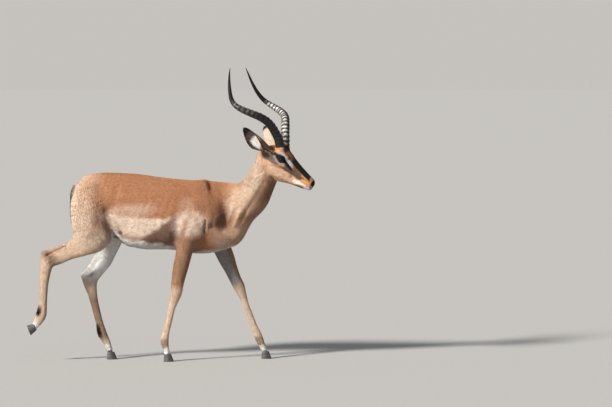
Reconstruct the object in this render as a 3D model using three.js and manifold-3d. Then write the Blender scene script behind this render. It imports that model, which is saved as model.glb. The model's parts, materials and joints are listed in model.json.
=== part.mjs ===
// A male black-faced impala in mid stride, life size, as a museum's still model.
// Millimetres. +X is the way it walks, +Y its left, +Z up. The origin is on the floor, under the
// middle of the box that holds it. The animal's own middle plane is at y = MIDLINE, because the
// head and horns turn to its right.
import * as THREE from 'three';
import { mergeVertices } from 'three/addons/utils/BufferGeometryUtils.js';
import Module from 'manifold-3d';

const MIDLINE = 9; // y of the trunk's middle plane
const HEAD_TURN = THREE.MathUtils.degToRad(22); // the head looks this far to its right
const HEAD_PIVOT_X = 470; // the head turns about an upright line through the top of the neck
const HEAD_OFFSET = -28; // and that line has swung this far to the right with the neck
const GAP = 0.3; // clearance between two nodes
const CAP = 0.9; // a bar's rounded end, as a share of its mean radius

const MATERIALS = {
  coat: new THREE.MeshStandardMaterial({ color: 0xc08a5c, roughness: 0.85 }),
  horn: new THREE.MeshStandardMaterial({ color: 0x35302c, roughness: 0.55 }),
  hoof: new THREE.MeshStandardMaterial({ color: 0x2f2b2a, roughness: 0.5 }),
  eye: new THREE.MeshStandardMaterial({ color: 0x120d0a, roughness: 0.1 }),
};

const wasm = await Module();
wasm.setup();

// ---------------------------------------------------------------------------------------------
// Bars. Every mass of the body is a bar: a line of stations, each
// [x, y, z, half width, radius to its front or top, radius to its back or underside].
// Between stations all six values follow one smooth curve.

// The six values at t, from 0 at the first station to 1 at the last: a Catmull-Rom curve.
function valuesAt(stations, t) {
  const last = stations.length - 1;
  const i = Math.min(Math.floor(t * last), last - 1);
  const u = t * last - i;
  return stations[0].map((_, n) => {
    const p1 = stations[i][n];
    const p2 = stations[i + 1][n];
    const p0 = i > 0 ? stations[i - 1][n] : 2 * p1 - p2;
    const p3 = i + 2 <= last ? stations[i + 2][n] : 2 * p2 - p1;
    return 0.5 * (2 * p1 + (p2 - p0) * u + (2 * p0 - 5 * p1 + 4 * p2 - p3) * u * u
      + (3 * p1 - p0 - 3 * p2 + p3) * u * u * u);
  });
}

// Centre, directions and radii of the bar at t. "out" points to its front or top, "side" across.
function stationAt(stations, t) {
  const step = 1e-3;
  const [x, y, z, width, front, back] = valuesAt(stations, t);
  const before = new THREE.Vector3(...valuesAt(stations, Math.max(0, t - step)));
  const after = new THREE.Vector3(...valuesAt(stations, Math.min(1, t + step)));
  const along = after.sub(before).normalize();
  const out = new THREE.Vector3().crossVectors(along, new THREE.Vector3(0, 1, 0)).normalize();
  const side = new THREE.Vector3().crossVectors(out, along);
  return { centre: new THREE.Vector3(x, y, z), along, out, side, width, front, back };
}

// A point of the bar's surface at t and angle phi, on a ring shrunk by "shrink" and pushed
// "push" millimetres along the bar, which is how the rounded ends are made.
function ringPoint(s, phi, shrink, push, grow) {
  const across = (s.width + grow) * Math.cos(phi) * shrink;
  const reach = (Math.sin(phi) > 0 ? s.front : s.back) + grow;
  return s.centre.clone()
    .addScaledVector(s.side, across)
    .addScaledVector(s.out, reach * Math.sin(phi) * shrink)
    .addScaledVector(s.along, push);
}

// A closed geometry from rings of points and a pole at each end.
function closedRings(rings, firstPole, lastPole) {
  const n = rings[0].length;
  const points = [firstPole, ...rings.flat(), lastPole];
  const faces = [];
  for (let j = 0; j < n; j++) {
    const k = (j + 1) % n;
    faces.push(0, 1 + k, 1 + j);
    for (let i = 0; i + 1 < rings.length; i++) {
      const a = 1 + i * n;
      const b = a + n;
      faces.push(a + j, a + k, b + j, a + k, b + k, b + j);
    }
    const end = 1 + (rings.length - 1) * n;
    faces.push(end + j, end + k, points.length - 1);
  }
  const geometry = new THREE.BufferGeometry().setFromPoints(points);
  geometry.setIndex(faces);
  return geometry;
}

// Faces turned outward, whichever way the rings ran.
function outward(geometry) {
  const p = geometry.attributes.position;
  const corner = (k) => new THREE.Vector3().fromBufferAttribute(p, geometry.index.array[k]);
  let volume = 0;
  for (let k = 0; k < geometry.index.count; k += 3)
    volume += corner(k).dot(corner(k + 1).cross(corner(k + 2)));
  if (volume < 0) geometry.index.array.reverse();
  return geometry;
}

// The bar as a closed geometry, with "sides" faces round it and "rings" steps along it.
function barGeometry(stations, { sides = 16, rings = 10, grow = 0, caps = 2 } = {}) {
  const list = [];
  const ring = (t, shrink, push) => {
    const s = stationAt(stations, t);
    list.push(Array.from({ length: sides }, (_, j) =>
      ringPoint(s, (j / sides) * 2 * Math.PI, shrink, push, grow)));
  };
  const capLength = (s) => CAP * (s.width + (s.front + s.back) / 2) / 2 + grow;
  const first = stationAt(stations, 0);
  const last = stationAt(stations, 1);
  for (let i = caps; i > 0; i--) {
    const a = (i / (caps + 1)) * Math.PI / 2;
    ring(0, Math.cos(a), -capLength(first) * Math.sin(a));
  }
  for (let i = 0; i <= rings; i++) ring(i / rings, 1, 0);
  for (let i = 1; i <= caps; i++) {
    const a = (i / (caps + 1)) * Math.PI / 2;
    ring(1, Math.cos(a), capLength(last) * Math.sin(a));
  }
  const pole = (s, push) => s.centre.clone().addScaledVector(s.along, push);
  return closedRings(list, pole(first, -capLength(first)), pole(last, capLength(last)));
}

// ---------------------------------------------------------------------------------------------
// Solids

function solidOf(geometry) {
  const bare = geometry.clone();
  bare.deleteAttribute('normal');
  bare.deleteAttribute('uv');
  const merged = mergeVertices(bare, 1e-3);
  return new wasm.Manifold(new wasm.Mesh({
    numProp: 3,
    vertProperties: merged.attributes.position.array,
    triVerts: new Uint32Array(merged.index.array),
  }));
}

const union = (solids) => solids.reduce((a, b) => a.add(b));

// A box of all space on the side of the plane that "normal" points to.
function halfSpace(point, normal) {
  const size = 4000;
  const box = new THREE.BoxGeometry(size, size, size).translate(0, 0, size / 2);
  const turn = new THREE.Quaternion().setFromUnitVectors(new THREE.Vector3(0, 0, 1),
    new THREE.Vector3(...normal).normalize());
  return solidOf(box.applyQuaternion(turn).translate(...point));
}

function geometryOf(solid) {
  const { numProp, vertProperties, triVerts } = solid.getMesh();
  const positions = new Float32Array((vertProperties.length / numProp) * 3);
  for (let i = 0; i < positions.length / 3; i++)
    positions.set(vertProperties.subarray(i * numProp, i * numProp + 3), i * 3);
  const geometry = new THREE.BufferGeometry();
  geometry.setAttribute('position', new THREE.BufferAttribute(positions, 3));
  geometry.setIndex(new THREE.BufferAttribute(triVerts, 1));
  geometry.computeVertexNormals();
  return geometry;
}

// ---------------------------------------------------------------------------------------------
// Trunk: barrel, breast and the neck's root, in the animal's own frame (y = 0 is its middle).

const BARREL = [
  [-418, 0, 738, 60, 190, 51],
  [-360, 0, 738, 106, 205, 84],
  [-285, 0, 728, 127, 215, 74],
  [-215, 0, 716, 134, 223, 128],
  [-140, 0, 708, 138, 222, 151],
  [-60, 0, 704, 137, 215, 150],
  [20, 0, 700, 129, 210, 148],
  [100, 0, 696, 117, 209, 160],
  [170, 0, 692, 104, 211, 158],
  [230, 0, 690, 92, 197, 143],
  [285, 0, 688, 74, 160, 124],
];

const NECK = [
  [235, 0, 738, 88, 130, 92],
  [295, 0, 770, 83, 122, 128],
  [350, -1, 798, 73, 94, 114],
  [397, -5, 830, 62, 84, 100],
  [425, -9, 862, 57, 82, 84],
  [446, -15, 898, 54, 76, 77],
  [465, -20, 935, 52, 75, 73],
  [487, -25, 975, 50, 73, 66],
  [502, -29, 1012, 46, 62, 55],
];

// The shoulder blade with its muscle, on the given side (+1 left, -1 right), moved forward by
// "swing" as the leg goes forward.
const shoulderBlade = (side, swing) => [
  [160, side * 48, 858, 24, 36, 46],
  [184, side * 68, 795, 32, 46, 60],
  [212 + swing * 0.5, side * 80, 725, 36, 44, 58],
];

const SHEATH = [
  [-210, 0, 585, 14, 14, 14],
  [-275, 0, 628, 12, 12, 14],
];

const SCROTUM = [
  [-395, 0, 665, 22, 20, 20],
  [-392, 0, 625, 25, 23, 23],
];

// ---------------------------------------------------------------------------------------------
// Legs. The right foreleg is late in its stance and the left one just set down; the left hind
// foot is under the belly, and the right one has just left the ground.

const RIGHT = -1;
const LEFT = 1;

const FORE_RIGHT = [
  [132, -78, 775, 28, 44, 52],
  [112, -88, 712, 36, 70, 68],
  [90, -90, 660, 35, 70, 66],
  [72, -87, 610, 33, 54, 52],
  [64, -84, 545, 33, 42, 43],
  [49, -82, 485, 30, 41, 41],
  [36, -81, 424, 25, 36, 36],
  [29, -80, 378, 23, 32, 33],
  [25, -80, 345, 24, 30, 30],
  [12, -79, 300, 19, 23, 23],
  [1, -79, 262, 16, 18, 19],
  [-12, -78, 205, 15, 18, 18],
  [-25, -78, 155, 15, 18, 19],
  [-34, -78, 107, 19, 21, 23],
  [-29, -78, 72, 17, 17, 18],
  [-24, -78, 44, 19, 17, 16],
];

const FORE_LEFT = [
  [170, 78, 775, 28, 44, 52],
  [190, 88, 712, 36, 66, 66],
  [205, 90, 660, 35, 66, 66],
  [224, 87, 607, 33, 56, 52],
  [247, 83, 555, 33, 48, 46],
  [268, 80, 505, 30, 45, 42],
  [290, 77, 455, 26, 37, 35],
  [312, 75, 405, 23, 32, 31],
  [334, 73, 362, 24, 30, 30],
  [351, 72, 320, 19, 22, 22],
  [367, 71, 272, 16, 18, 19],
  [387, 70, 220, 15, 18, 18],
  [407, 69, 168, 15, 18, 19],
  [431, 68, 112, 19, 21, 22],
  [446, 68, 76, 17, 18, 19],
  [458, 68, 48, 19, 17, 16],
];

// The thigh from the hip to the knee, its rear muscle, the shank, the tendon above the hock, the
// heel bone, and the rest down to the hoof.
const HIND_RIGHT = {
  thigh: [
    [-425, -58, 850, 44, 78, 62],
    [-412, -74, 785, 56, 108, 92],
    [-396, -82, 715, 55, 108, 106],
    [-382, -86, 650, 48, 94, 108],
    [-392, -87, 605, 42, 70, 88],
  ],
  shank: [
    [-345, -86, 632, 43, 54, 64],
    [-395, -88, 604, 43, 62, 70],
    [-455, -88, 581, 36, 60, 58],
    [-513, -88, 549, 26, 44, 34],
    [-565, -88, 521, 22, 38, 24],
    [-612, -88, 500, 25, 32, 30],
  ],
  tendon: [
    [-452, -88, 608, 24, 26, 28],
    [-515, -88, 580, 12, 30, 20],
    [-575, -88, 556, 10, 32, 20],
    [-630, -88, 535, 13, 26, 20],
  ],
  heel: [
    [-632, -88, 541, 14, 16, 17],
    [-633, -88, 500, 18, 22, 20],
    [-628, -88, 462, 16, 22, 22],
  ],
  cannon: [
    [-613, -88, 505, 24, 30, 32],
    [-624, -88, 455, 21, 27, 30],
    [-634, -88, 395, 17, 24, 23],
    [-639, -88, 335, 15, 23, 20],
    [-643, -88, 280, 16, 24, 22],
    [-648, -88, 236, 19, 27, 26],
    [-664, -88, 204, 17, 24, 22],
    [-682, -88, 178, 18, 18, 17],
  ],
};

const HIND_LEFT = {
  thigh: [
    [-425, 58, 850, 44, 78, 62],
    [-400, 74, 785, 56, 108, 96],
    [-368, 81, 718, 55, 102, 116],
    [-335, 83, 662, 48, 84, 112],
    [-335, 82, 618, 42, 66, 84],
  ],
  shank: [
    [-285, 82, 652, 43, 52, 62],
    [-303, 80, 600, 42, 52, 66],
    [-322, 75, 545, 35, 44, 56],
    [-342, 68, 492, 26, 38, 34],
    [-372, 60, 447, 22, 32, 24],
    [-407, 53, 402, 25, 30, 30],
  ],
  tendon: [
    [-345, 72, 572, 24, 24, 30],
    [-380, 65, 509, 12, 28, 20],
    [-412, 58, 456, 10, 30, 20],
    [-440, 53, 420, 13, 24, 18],
  ],
  heel: [
    [-446, 53, 420, 14, 16, 17],
    [-428, 52, 378, 18, 22, 20],
    [-414, 51, 352, 16, 20, 20],
  ],
  cannon: [
    [-408, 53, 405, 24, 30, 34],
    [-406, 51, 360, 21, 27, 29],
    [-396, 49, 300, 17, 22, 23],
    [-382, 46, 238, 15, 21, 20],
    [-366, 43, 180, 16, 20, 21],
    [-350, 40, 125, 19, 23, 25],
    [-331, 39, 88, 17, 19, 20],
    [-318, 38, 52, 19, 17, 17],
  ],
};

// ---------------------------------------------------------------------------------------------
// Head, in its own frame: x forward from the pivot line, y across, z the height above the floor.

const SKULL = [
  [-6, 0, 1022, 45, 42, 48],
  [38, 0, 1030, 54, 50, 56],
  [84, 0, 1018, 54, 54, 54],
  [124, 0, 984, 44, 46, 46],
  [164, 0, 946, 35, 42, 38],
  [202, 0, 915, 30, 37, 32],
  [238, 0, 892, 28, 28, 27],
];

const JAW = [
  [76, 0, 930, 38, 40, 34],
  [125, 0, 910, 32, 30, 23],
  [165, 0, 896, 26, 26, 21],
  [205, 0, 882, 21, 22, 20],
  [236, 0, 872, 19, 14, 17],
];

const cheek = (side) => [
  [52, side * 33, 962, 17, 40, 38],
  [92, side * 33, 952, 18, 40, 36],
  [128, side * 27, 934, 13, 26, 24],
];

const brow = (side) => [
  [72, side * 40, 1040, 14, 12, 13],
  [100, side * 45, 1043, 11, 11, 12],
  [128, side * 38, 1018, 11, 11, 14],
];

const EYE = { x: 104, y: 40, z: 1011, radius: 18 };

// Horn: stations [x, y, z, radius] up to the tip, for the left one.
const HORN = [
  [93, 22, 1044, 23],
  [89, 35, 1094, 22.5],
  [77, 64, 1143, 21.5],
  [62, 104, 1187, 20.5],
  [40, 150, 1217, 19.5],
  [6, 188, 1238, 18],
  [-34, 211, 1257, 16],
  [-70, 214, 1277, 13.5],
  [-98, 198, 1302, 11.5],
  [-119, 173, 1338, 9.5],
  [-135, 146, 1384, 7],
  [-145, 122, 1427, 4.5],
  [-151, 100, 1462, 1.2],
];
const RIDGE_STEP = 23; // along the horn from one ridge to the next
const RIDGE_HEIGHT = 0.07; // of the horn's radius
const RIDGED_SHARE = 0.66; // of the horn's length, from its base

const EAR = { base: [38, 42, 1058], tip: [-64, 130, 1168], width: 35, thickness: 2.4 };

// Turns a list of head stations into the animal's frame.
const headMatrix = new THREE.Matrix4()
  .makeTranslation(HEAD_PIVOT_X, HEAD_OFFSET, 0)
  .multiply(new THREE.Matrix4().makeRotationZ(-HEAD_TURN));

const headBar = (stations, options) => barGeometry(stations, options).applyMatrix4(headMatrix);

// ---------------------------------------------------------------------------------------------
// The parts

const barSolid = (stations, sides, rings, grow) =>
  solidOf(barGeometry(stations, { sides, rings, grow }));

// Trunk and neck without the limbs.
const coreSolid = (grow) => union([
  barSolid(BARREL, 18, 12, grow), barSolid(NECK, 16, 10, grow),
  barSolid(shoulderBlade(RIGHT, 0), 10, 3, grow), barSolid(shoulderBlade(LEFT, 20), 10, 3, grow),
  barSolid(SHEATH, 6, 2, grow), barSolid(SCROTUM, 8, 2, grow),
]);

const foreSolid = (leg) => barSolid(leg, 10, 18, 0);

const hindSolid = (leg) => union([
  barSolid(leg.thigh, 12, 5, 0), barSolid(leg.shank, 10, 6, 0), barSolid(leg.tendon, 6, 3, 0),
  barSolid(leg.heel, 6, 2, 0), barSolid(leg.cannon, 10, 9, 0),
]);

function headSolid(grow) {
  const bar = (stations, sides, rings) => solidOf(headBar(stations, { sides, rings, grow }));
  return union([
    bar(SKULL, 18, 11), bar(JAW, 12, 6),
    bar(cheek(RIGHT), 8, 3), bar(cheek(LEFT), 8, 3),
    bar(brow(RIGHT), 6, 3), bar(brow(LEFT), 6, 3),
  ]);
}

function hornGeometry(side) {
  const line = new THREE.CatmullRomCurve3(
    HORN.map(([x, y, z]) => new THREE.Vector3(x, side * y, z)));
  const ridges = Math.round(line.getLength() * RIDGED_SHARE / RIDGE_STEP);
  const plainSteps = 6;
  const sides = 8;
  const ring = (share, swell) => {
    const t = line.getUtoTmapping(share);
    const at = t * (HORN.length - 1);
    const k = Math.min(Math.floor(at), HORN.length - 2);
    const radius = THREE.MathUtils.lerp(HORN[k][3], HORN[k + 1][3], at - k) * (1 + swell);
    const centre = line.getPoint(t);
    const along = line.getTangent(t);
    const out = new THREE.Vector3(0, 1, 0).cross(along).normalize();
    const across = new THREE.Vector3().crossVectors(along, out);
    return Array.from({ length: sides }, (_, j) => {
      const a = (j / sides) * 2 * Math.PI;
      return centre.clone().addScaledVector(out, radius * Math.cos(a))
        .addScaledVector(across, radius * Math.sin(a));
    });
  };
  const rings = [];
  for (let i = 0; i < ridges; i++) {
    rings.push(ring((i / ridges) * RIDGED_SHARE, -RIDGE_HEIGHT / 2));
    rings.push(ring(((i + 0.5) / ridges) * RIDGED_SHARE, RIDGE_HEIGHT));
  }
  for (let i = 0; i < plainSteps; i++)
    rings.push(ring(RIDGED_SHARE + (i / plainSteps) * (1 - RIDGED_SHARE), 0));
  return outward(closedRings(rings, line.getPoint(0), line.getPoint(1)))
    .applyMatrix4(headMatrix);
}

// An ear: a broad leaf curled into a tube at its root, open to the outside and downwards.
function earGeometry(side) {
  const base = new THREE.Vector3(...EAR.base);
  const axis = new THREE.Vector3(...EAR.tip).sub(base);
  const long = axis.clone().normalize();
  const open = new THREE.Vector3(0.15, 1, -0.66);
  open.addScaledVector(long, -open.dot(long)).normalize();
  const across = new THREE.Vector3().crossVectors(long, open);
  const lengthSteps = 8;
  const halfSteps = 5;
  const point = (u, v, inset) => {
    const leaf = Math.pow(Math.sin(Math.PI * Math.min(1, 0.22 + 0.78 * Math.pow(u, 1.6))), 0.6);
    const wide = EAR.width * leaf * (0.62 + 0.38 * Math.min(1, u * 2.2)) + 1;
    const wrap = THREE.MathUtils.lerp(2.8, 0.75, THREE.MathUtils.clamp((u - 0.2) / 0.75, 0, 1));
    const radius = wide / Math.sin(Math.min(wrap, Math.PI / 2)) - inset;
    const a = v * wrap;
    return base.clone().addScaledVector(axis, u)
      .addScaledVector(across, radius * Math.sin(a))
      .addScaledVector(open, radius * (1 - Math.cos(a)) - (1 - u) * 6 + inset);
  };
  const rings = [];
  for (let i = 0; i <= lengthSteps; i++) {
    const u = (i / lengthSteps) * 0.97;
    const ring = [];
    for (let j = -halfSteps; j <= halfSteps; j++) ring.push(point(u, j / halfSteps, 0));
    for (let j = halfSteps; j >= -halfSteps; j--) ring.push(point(u, j / halfSteps, EAR.thickness));
    rings.push(ring);
  }
  const mid = (ring) => ring.reduce((a, p) => a.add(p), new THREE.Vector3())
    .divideScalar(ring.length);
  const foot = point(0, 0, EAR.thickness / 2);
  const geometry = closedRings(rings, foot, mid(rings[lengthSteps]));
  return outward(geometry.applyMatrix4(new THREE.Matrix4().makeScale(1, side, 1))
    .applyMatrix4(headMatrix));
}

// One claw of a hoof: sole on z = 0, toe to +X, its nearly flat inner wall beside the cleft.
const HOOF = { length: 52, width: 21, height: 36, cleft: 2.4 };

function clawGeometry(side) {
  const levels = [0, 0.12, 0.55, 1];
  const around = 8;
  const rings = levels.map((level) => {
    const length = HOOF.length * (level === 0 ? 0.95 : 1 - 0.33 * level);
    const width = HOOF.width * (level === 0 ? 0.94 : 1 - 0.12 * level);
    const heel = -HOOF.length * 0.36 + 3 * level;
    return Array.from({ length: around }, (_, j) => {
      const a = (j / around) * 2 * Math.PI;
      const x = heel + (length * (1 - Math.cos(a))) / 2;
      const bulge = Math.sin(a) > 0 ? Math.pow(Math.sin(a), 0.8) : 0.22 * Math.sin(a);
      const toeIn = 1 - 0.35 * Math.max(0, -Math.cos(a));
      return new THREE.Vector3(x, side * (HOOF.cleft / 2 + width * 0.2 + width * 0.8 * bulge * toeIn),
        HOOF.height * level);
    });
  });
  const centre = (ring) => ring.reduce((a, p) => a.add(p), new THREE.Vector3())
    .divideScalar(ring.length);
  return outward(closedRings(rings, centre(rings[0]), centre(rings[rings.length - 1])));
}

// Where each foot's hoof stands, and how far its toe points down.
const FEET = {
  front_right: { at: [-22, -78, 0], toeDown: 0, side: RIGHT },
  front_left: { at: [464, 68, 0], toeDown: 0, side: LEFT },
  hind_right: { at: [-713, -88, 163], toeDown: 70, side: RIGHT },
  hind_left: { at: [-312, 38, 0], toeDown: 0, side: LEFT },
};

const footMatrix = ({ at, toeDown }) => new THREE.Matrix4().makeTranslation(...at)
  .multiply(new THREE.Matrix4().makeRotationY(THREE.MathUtils.degToRad(toeDown)));

const TAIL = [
  [-476, 0, 868, 19, 16, 20],
  [-493, 0, 840, 17, 14, 16],
  [-501, 0, 790, 15, 9, 11],
  [-500, 0, 730, 15, 8, 10],
  [-492, 0, 672, 15, 8, 9],
  [-483, 0, 622, 12, 7, 8],
];

// Cuts that part the body into its nodes.
const CUTS = {
  neckRoot: { point: [296, 0, 770], normal: [0.74, 0, 0.67] },
  headRoot: { point: [478, -25, 955], normal: [0.85, -0.15, 0.5] },
  foreTop: 578,
  hindTop: 668,
};

const shifted = (cut, distance) => {
  const n = new THREE.Vector3(...cut.normal).normalize();
  return halfSpace(new THREE.Vector3(...cut.point).addScaledVector(n, distance).toArray(),
    n.toArray());
};

const largest = (solid) => solid.decompose().sort((a, b) => b.volume() - a.volume())[0];

const group = new THREE.Group();
group.name = 'impala';
const animal = new THREE.Group();
animal.position.y = MIDLINE;
group.add(animal);

function addNode(name, solid, material) {
  const mesh = new THREE.Mesh(geometryOf(solid), material);
  mesh.name = name;
  animal.add(mesh);
}

const claws = Object.entries(FEET).flatMap(([foot, place]) =>
  [LEFT, RIGHT].map((side) => ({
    name: `hoof_${foot}_${side === place.side ? 'outer' : 'inner'}`,
    solid: solidOf(clawGeometry(side).applyMatrix4(footMatrix(place))),
  })));
claws.forEach(({ name, solid }) => addNode(name, solid, MATERIALS.hoof));

// Where no leg reaches: a block round each hoof, up to its coronet.
const BLOCK = { length: 140, width: 120, below: 60 };
const belowCoronets = union(Object.values(FEET).map((place) => {
  const height = HOOF.height + GAP + BLOCK.below;
  return solidOf(new THREE.BoxGeometry(BLOCK.length, BLOCK.width, height)
    .translate(0, 0, height / 2 - BLOCK.below).applyMatrix4(footMatrix(place)));
}));

const core = coreSolid(0);
const coreGrown = coreSolid(GAP);
const limbs = {
  leg_front_right: { solid: foreSolid(FORE_RIGHT), top: CUTS.foreTop },
  leg_front_left: { solid: foreSolid(FORE_LEFT), top: CUTS.foreTop },
  leg_hind_right: { solid: hindSolid(HIND_RIGHT), top: CUTS.hindTop },
  leg_hind_left: { solid: hindSolid(HIND_LEFT), top: CUTS.hindTop },
};
for (const [name, { solid, top }] of Object.entries(limbs)) {
  const lower = solid.subtract(halfSpace([0, 0, top], [0, 0, 1]));
  addNode(name, largest(lower.subtract(coreGrown).subtract(belowCoronets)), MATERIALS.coat);
}
const limbTops = Object.values(limbs).map(({ solid, top }) =>
  solid.intersect(halfSpace([0, 0, top + GAP], [0, 0, 1])));
const torso = union([core, ...limbTops]);

addNode('trunk', largest(torso.subtract(shifted(CUTS.neckRoot, 0))), MATERIALS.coat);
const neckPart = torso.intersect(shifted(CUTS.neckRoot, GAP))
  .subtract(shifted(CUTS.headRoot, -GAP));
addNode('neck', largest(neckPart), MATERIALS.coat);
const rear = union([coreGrown, ...Object.values(limbs).map(({ solid }) => solid)]);
addNode('tail', largest(barSolid(TAIL, 8, 8, 0).subtract(rear)), MATERIALS.coat);

const skullAndNeck = (grow) => headSolid(grow).add(barSolid(NECK, 16, 10, grow))
  .intersect(shifted(CUTS.headRoot, 0));
const eyeBall = (side, grow) => solidOf(new THREE.SphereGeometry(EYE.radius + grow, 10, 8)
  .rotateX(Math.PI / 2).translate(EYE.x, side * EYE.y, EYE.z).applyMatrix4(headMatrix));
const sockets = union([eyeBall(LEFT, GAP), eyeBall(RIGHT, GAP)]);
addNode('head', largest(skullAndNeck(0).subtract(sockets)), MATERIALS.coat);
const headAndNeckGrown = skullAndNeck(GAP * 1.5).add(coreGrown);

for (const [word, side] of [['right', RIGHT], ['left', LEFT]]) {
  addNode(`eye_${word}`, eyeBall(side, 0), MATERIALS.eye);
  const horn = solidOf(hornGeometry(side));
  addNode(`horn_${word}`, largest(horn.subtract(headAndNeckGrown)), MATERIALS.horn);
  const ear = solidOf(earGeometry(side));
  addNode(`ear_${word}`, largest(ear.subtract(headAndNeckGrown)), MATERIALS.coat);
}

export default group;
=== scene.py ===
"""A male black-faced impala in mid stride, life size: skin and coat, horns, hooves and eyes.

Metres, in the frame's own axes: +X the way it walks, +Y its left, +Z up. Stations and places are
written in millimetres, as in the solids, and turned into metres where they are read.
"""
import json
import math

import bpy
import numpy as np
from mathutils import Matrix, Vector

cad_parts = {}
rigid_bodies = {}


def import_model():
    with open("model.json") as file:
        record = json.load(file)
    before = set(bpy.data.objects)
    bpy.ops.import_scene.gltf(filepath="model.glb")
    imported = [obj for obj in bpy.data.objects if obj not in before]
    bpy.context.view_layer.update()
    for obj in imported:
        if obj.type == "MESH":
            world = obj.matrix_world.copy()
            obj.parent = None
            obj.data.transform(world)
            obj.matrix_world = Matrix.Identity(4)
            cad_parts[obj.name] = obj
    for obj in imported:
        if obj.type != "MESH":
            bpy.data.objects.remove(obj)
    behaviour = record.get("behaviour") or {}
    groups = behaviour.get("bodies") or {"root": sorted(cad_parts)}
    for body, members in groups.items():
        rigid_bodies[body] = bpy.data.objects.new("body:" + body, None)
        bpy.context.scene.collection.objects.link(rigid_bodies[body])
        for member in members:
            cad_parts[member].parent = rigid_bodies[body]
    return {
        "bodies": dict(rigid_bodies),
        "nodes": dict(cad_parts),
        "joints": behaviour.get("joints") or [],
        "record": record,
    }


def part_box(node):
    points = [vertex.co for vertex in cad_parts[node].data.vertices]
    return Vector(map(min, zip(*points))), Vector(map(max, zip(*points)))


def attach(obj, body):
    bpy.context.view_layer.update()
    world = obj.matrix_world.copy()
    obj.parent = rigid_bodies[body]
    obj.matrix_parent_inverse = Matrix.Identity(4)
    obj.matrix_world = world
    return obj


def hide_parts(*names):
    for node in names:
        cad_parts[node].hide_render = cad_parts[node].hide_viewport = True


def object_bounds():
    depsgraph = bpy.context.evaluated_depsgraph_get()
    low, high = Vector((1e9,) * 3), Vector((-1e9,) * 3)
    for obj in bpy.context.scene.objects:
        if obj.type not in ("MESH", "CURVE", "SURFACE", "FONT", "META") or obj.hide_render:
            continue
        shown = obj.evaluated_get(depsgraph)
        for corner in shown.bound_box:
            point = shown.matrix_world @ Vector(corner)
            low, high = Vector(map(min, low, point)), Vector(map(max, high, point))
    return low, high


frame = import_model()
cad_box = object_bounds()

# ---------------------------------------------------------------------------------------------
# Camera, floor and light: a long lens almost level with the animal, on its right side, and a soft
# sun from the same side, behind it, with a pale floor that meets a pale background.

MM = 0.001
DISTANCE = 16.0
VIEW_WIDTH = 3.06
RISE = math.radians(3.0)
SENSOR = 36.0
midline = (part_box("tail")[0][1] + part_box("tail")[1][1]) / 2
target = Vector((0.670, midline, 0.785))

camera = bpy.data.objects.new("camera", bpy.data.cameras.new("camera"))
bpy.context.collection.objects.link(camera)
camera.data.sensor_width = SENSOR
camera.data.lens = SENSOR * DISTANCE / VIEW_WIDTH
camera.data.clip_end = 200.0
camera.location = target + Vector((0, -math.cos(RISE), math.sin(RISE))) * DISTANCE
camera.rotation_euler = (math.pi / 2 - RISE, 0, 0)
bpy.context.scene.camera = camera


def new_material(name, roughness, **sockets):
    """A material, with its node tree and its Principled shader, whose sockets take the values."""
    material = bpy.data.materials.new(name)
    material.use_nodes = True
    shader = material.node_tree.nodes["Principled BSDF"]
    shader.inputs["Roughness"].default_value = roughness
    for socket, value in sockets.items():
        shader.inputs[socket.replace("_", " ")].default_value = value
    return material, material.node_tree, shader


def add_node(tree, kind, values=(), **links):
    """A node of this kind; values sets its sockets, and links joins output sockets to them."""
    node = tree.nodes.new(kind)
    for socket, value in dict(values).items():
        node.inputs[socket].default_value = value
    for socket, source in links.items():
        tree.links.new(source, node.inputs[socket])
    return node


def object_place(tree):
    """The output of a node that gives places in the object's own axes."""
    return add_node(tree, "ShaderNodeTexCoord").outputs["Object"]


def noise(tree, place, scale, detail, roughness=0.5):
    """The output of a cloudy noise over the socket place, about 0.5 on average."""
    node = add_node(tree, "ShaderNodeTexNoise",
                    {"Scale": scale, "Detail": detail, "Roughness": roughness}, Vector=place)
    return node.outputs["Fac"]


def colour_ramp(tree, value, *stops):
    """The colour of a ramp over the socket value, from its two stops (place, colour)."""
    ramp = add_node(tree, "ShaderNodeValToRGB", {}, Fac=value)
    for element, (place, colour) in zip(ramp.color_ramp.elements, stops):
        element.position = place
        element.color = (*colour, 1)
    return ramp.outputs["Color"]


def mesh_object(name, vertices, faces, material=None):
    """A smooth object of this mesh; faces is one array, or a list of arrays of equal-sided faces."""
    mesh = bpy.data.meshes.new(name)
    groups = [faces] if isinstance(faces, np.ndarray) else faces
    loops = np.concatenate([g.ravel() for g in groups])
    sizes = np.concatenate([np.full(len(g), g.shape[1]) for g in groups])
    mesh.vertices.add(len(vertices))
    mesh.vertices.foreach_set("co", np.asarray(vertices, np.float32).ravel())
    mesh.loops.add(len(loops))
    mesh.loops.foreach_set("vertex_index", loops.astype(np.int32))
    mesh.polygons.add(len(sizes))
    mesh.polygons.foreach_set("loop_start", (np.cumsum(sizes) - sizes).astype(np.int32))
    mesh.polygons.foreach_set("use_smooth", np.full(len(sizes), True))
    mesh.update(calc_edges=True)
    if material:
        mesh.materials.append(material)
    obj = bpy.data.objects.new(name, mesh)
    bpy.context.collection.objects.link(obj)
    return obj


FLOOR_SIZE = 160.0
floor_material, tree, shader = new_material("floor", 0.95)
grit = noise(tree, object_place(tree), 40.0, 3.0)
sand = colour_ramp(tree, grit, (0, (0.415, 0.41, 0.40)), (1, (0.455, 0.45, 0.44)))
tree.links.new(sand, shader.inputs["Base Color"])
floor_corners = np.array([(x, y, 0) for x, y in ((-1, -1), (1, -1), (1, 1), (-1, 1))], float)
floor = mesh_object("floor", floor_corners * FLOOR_SIZE / 2, np.array([[0, 1, 2, 3]]),
                    floor_material)

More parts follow.
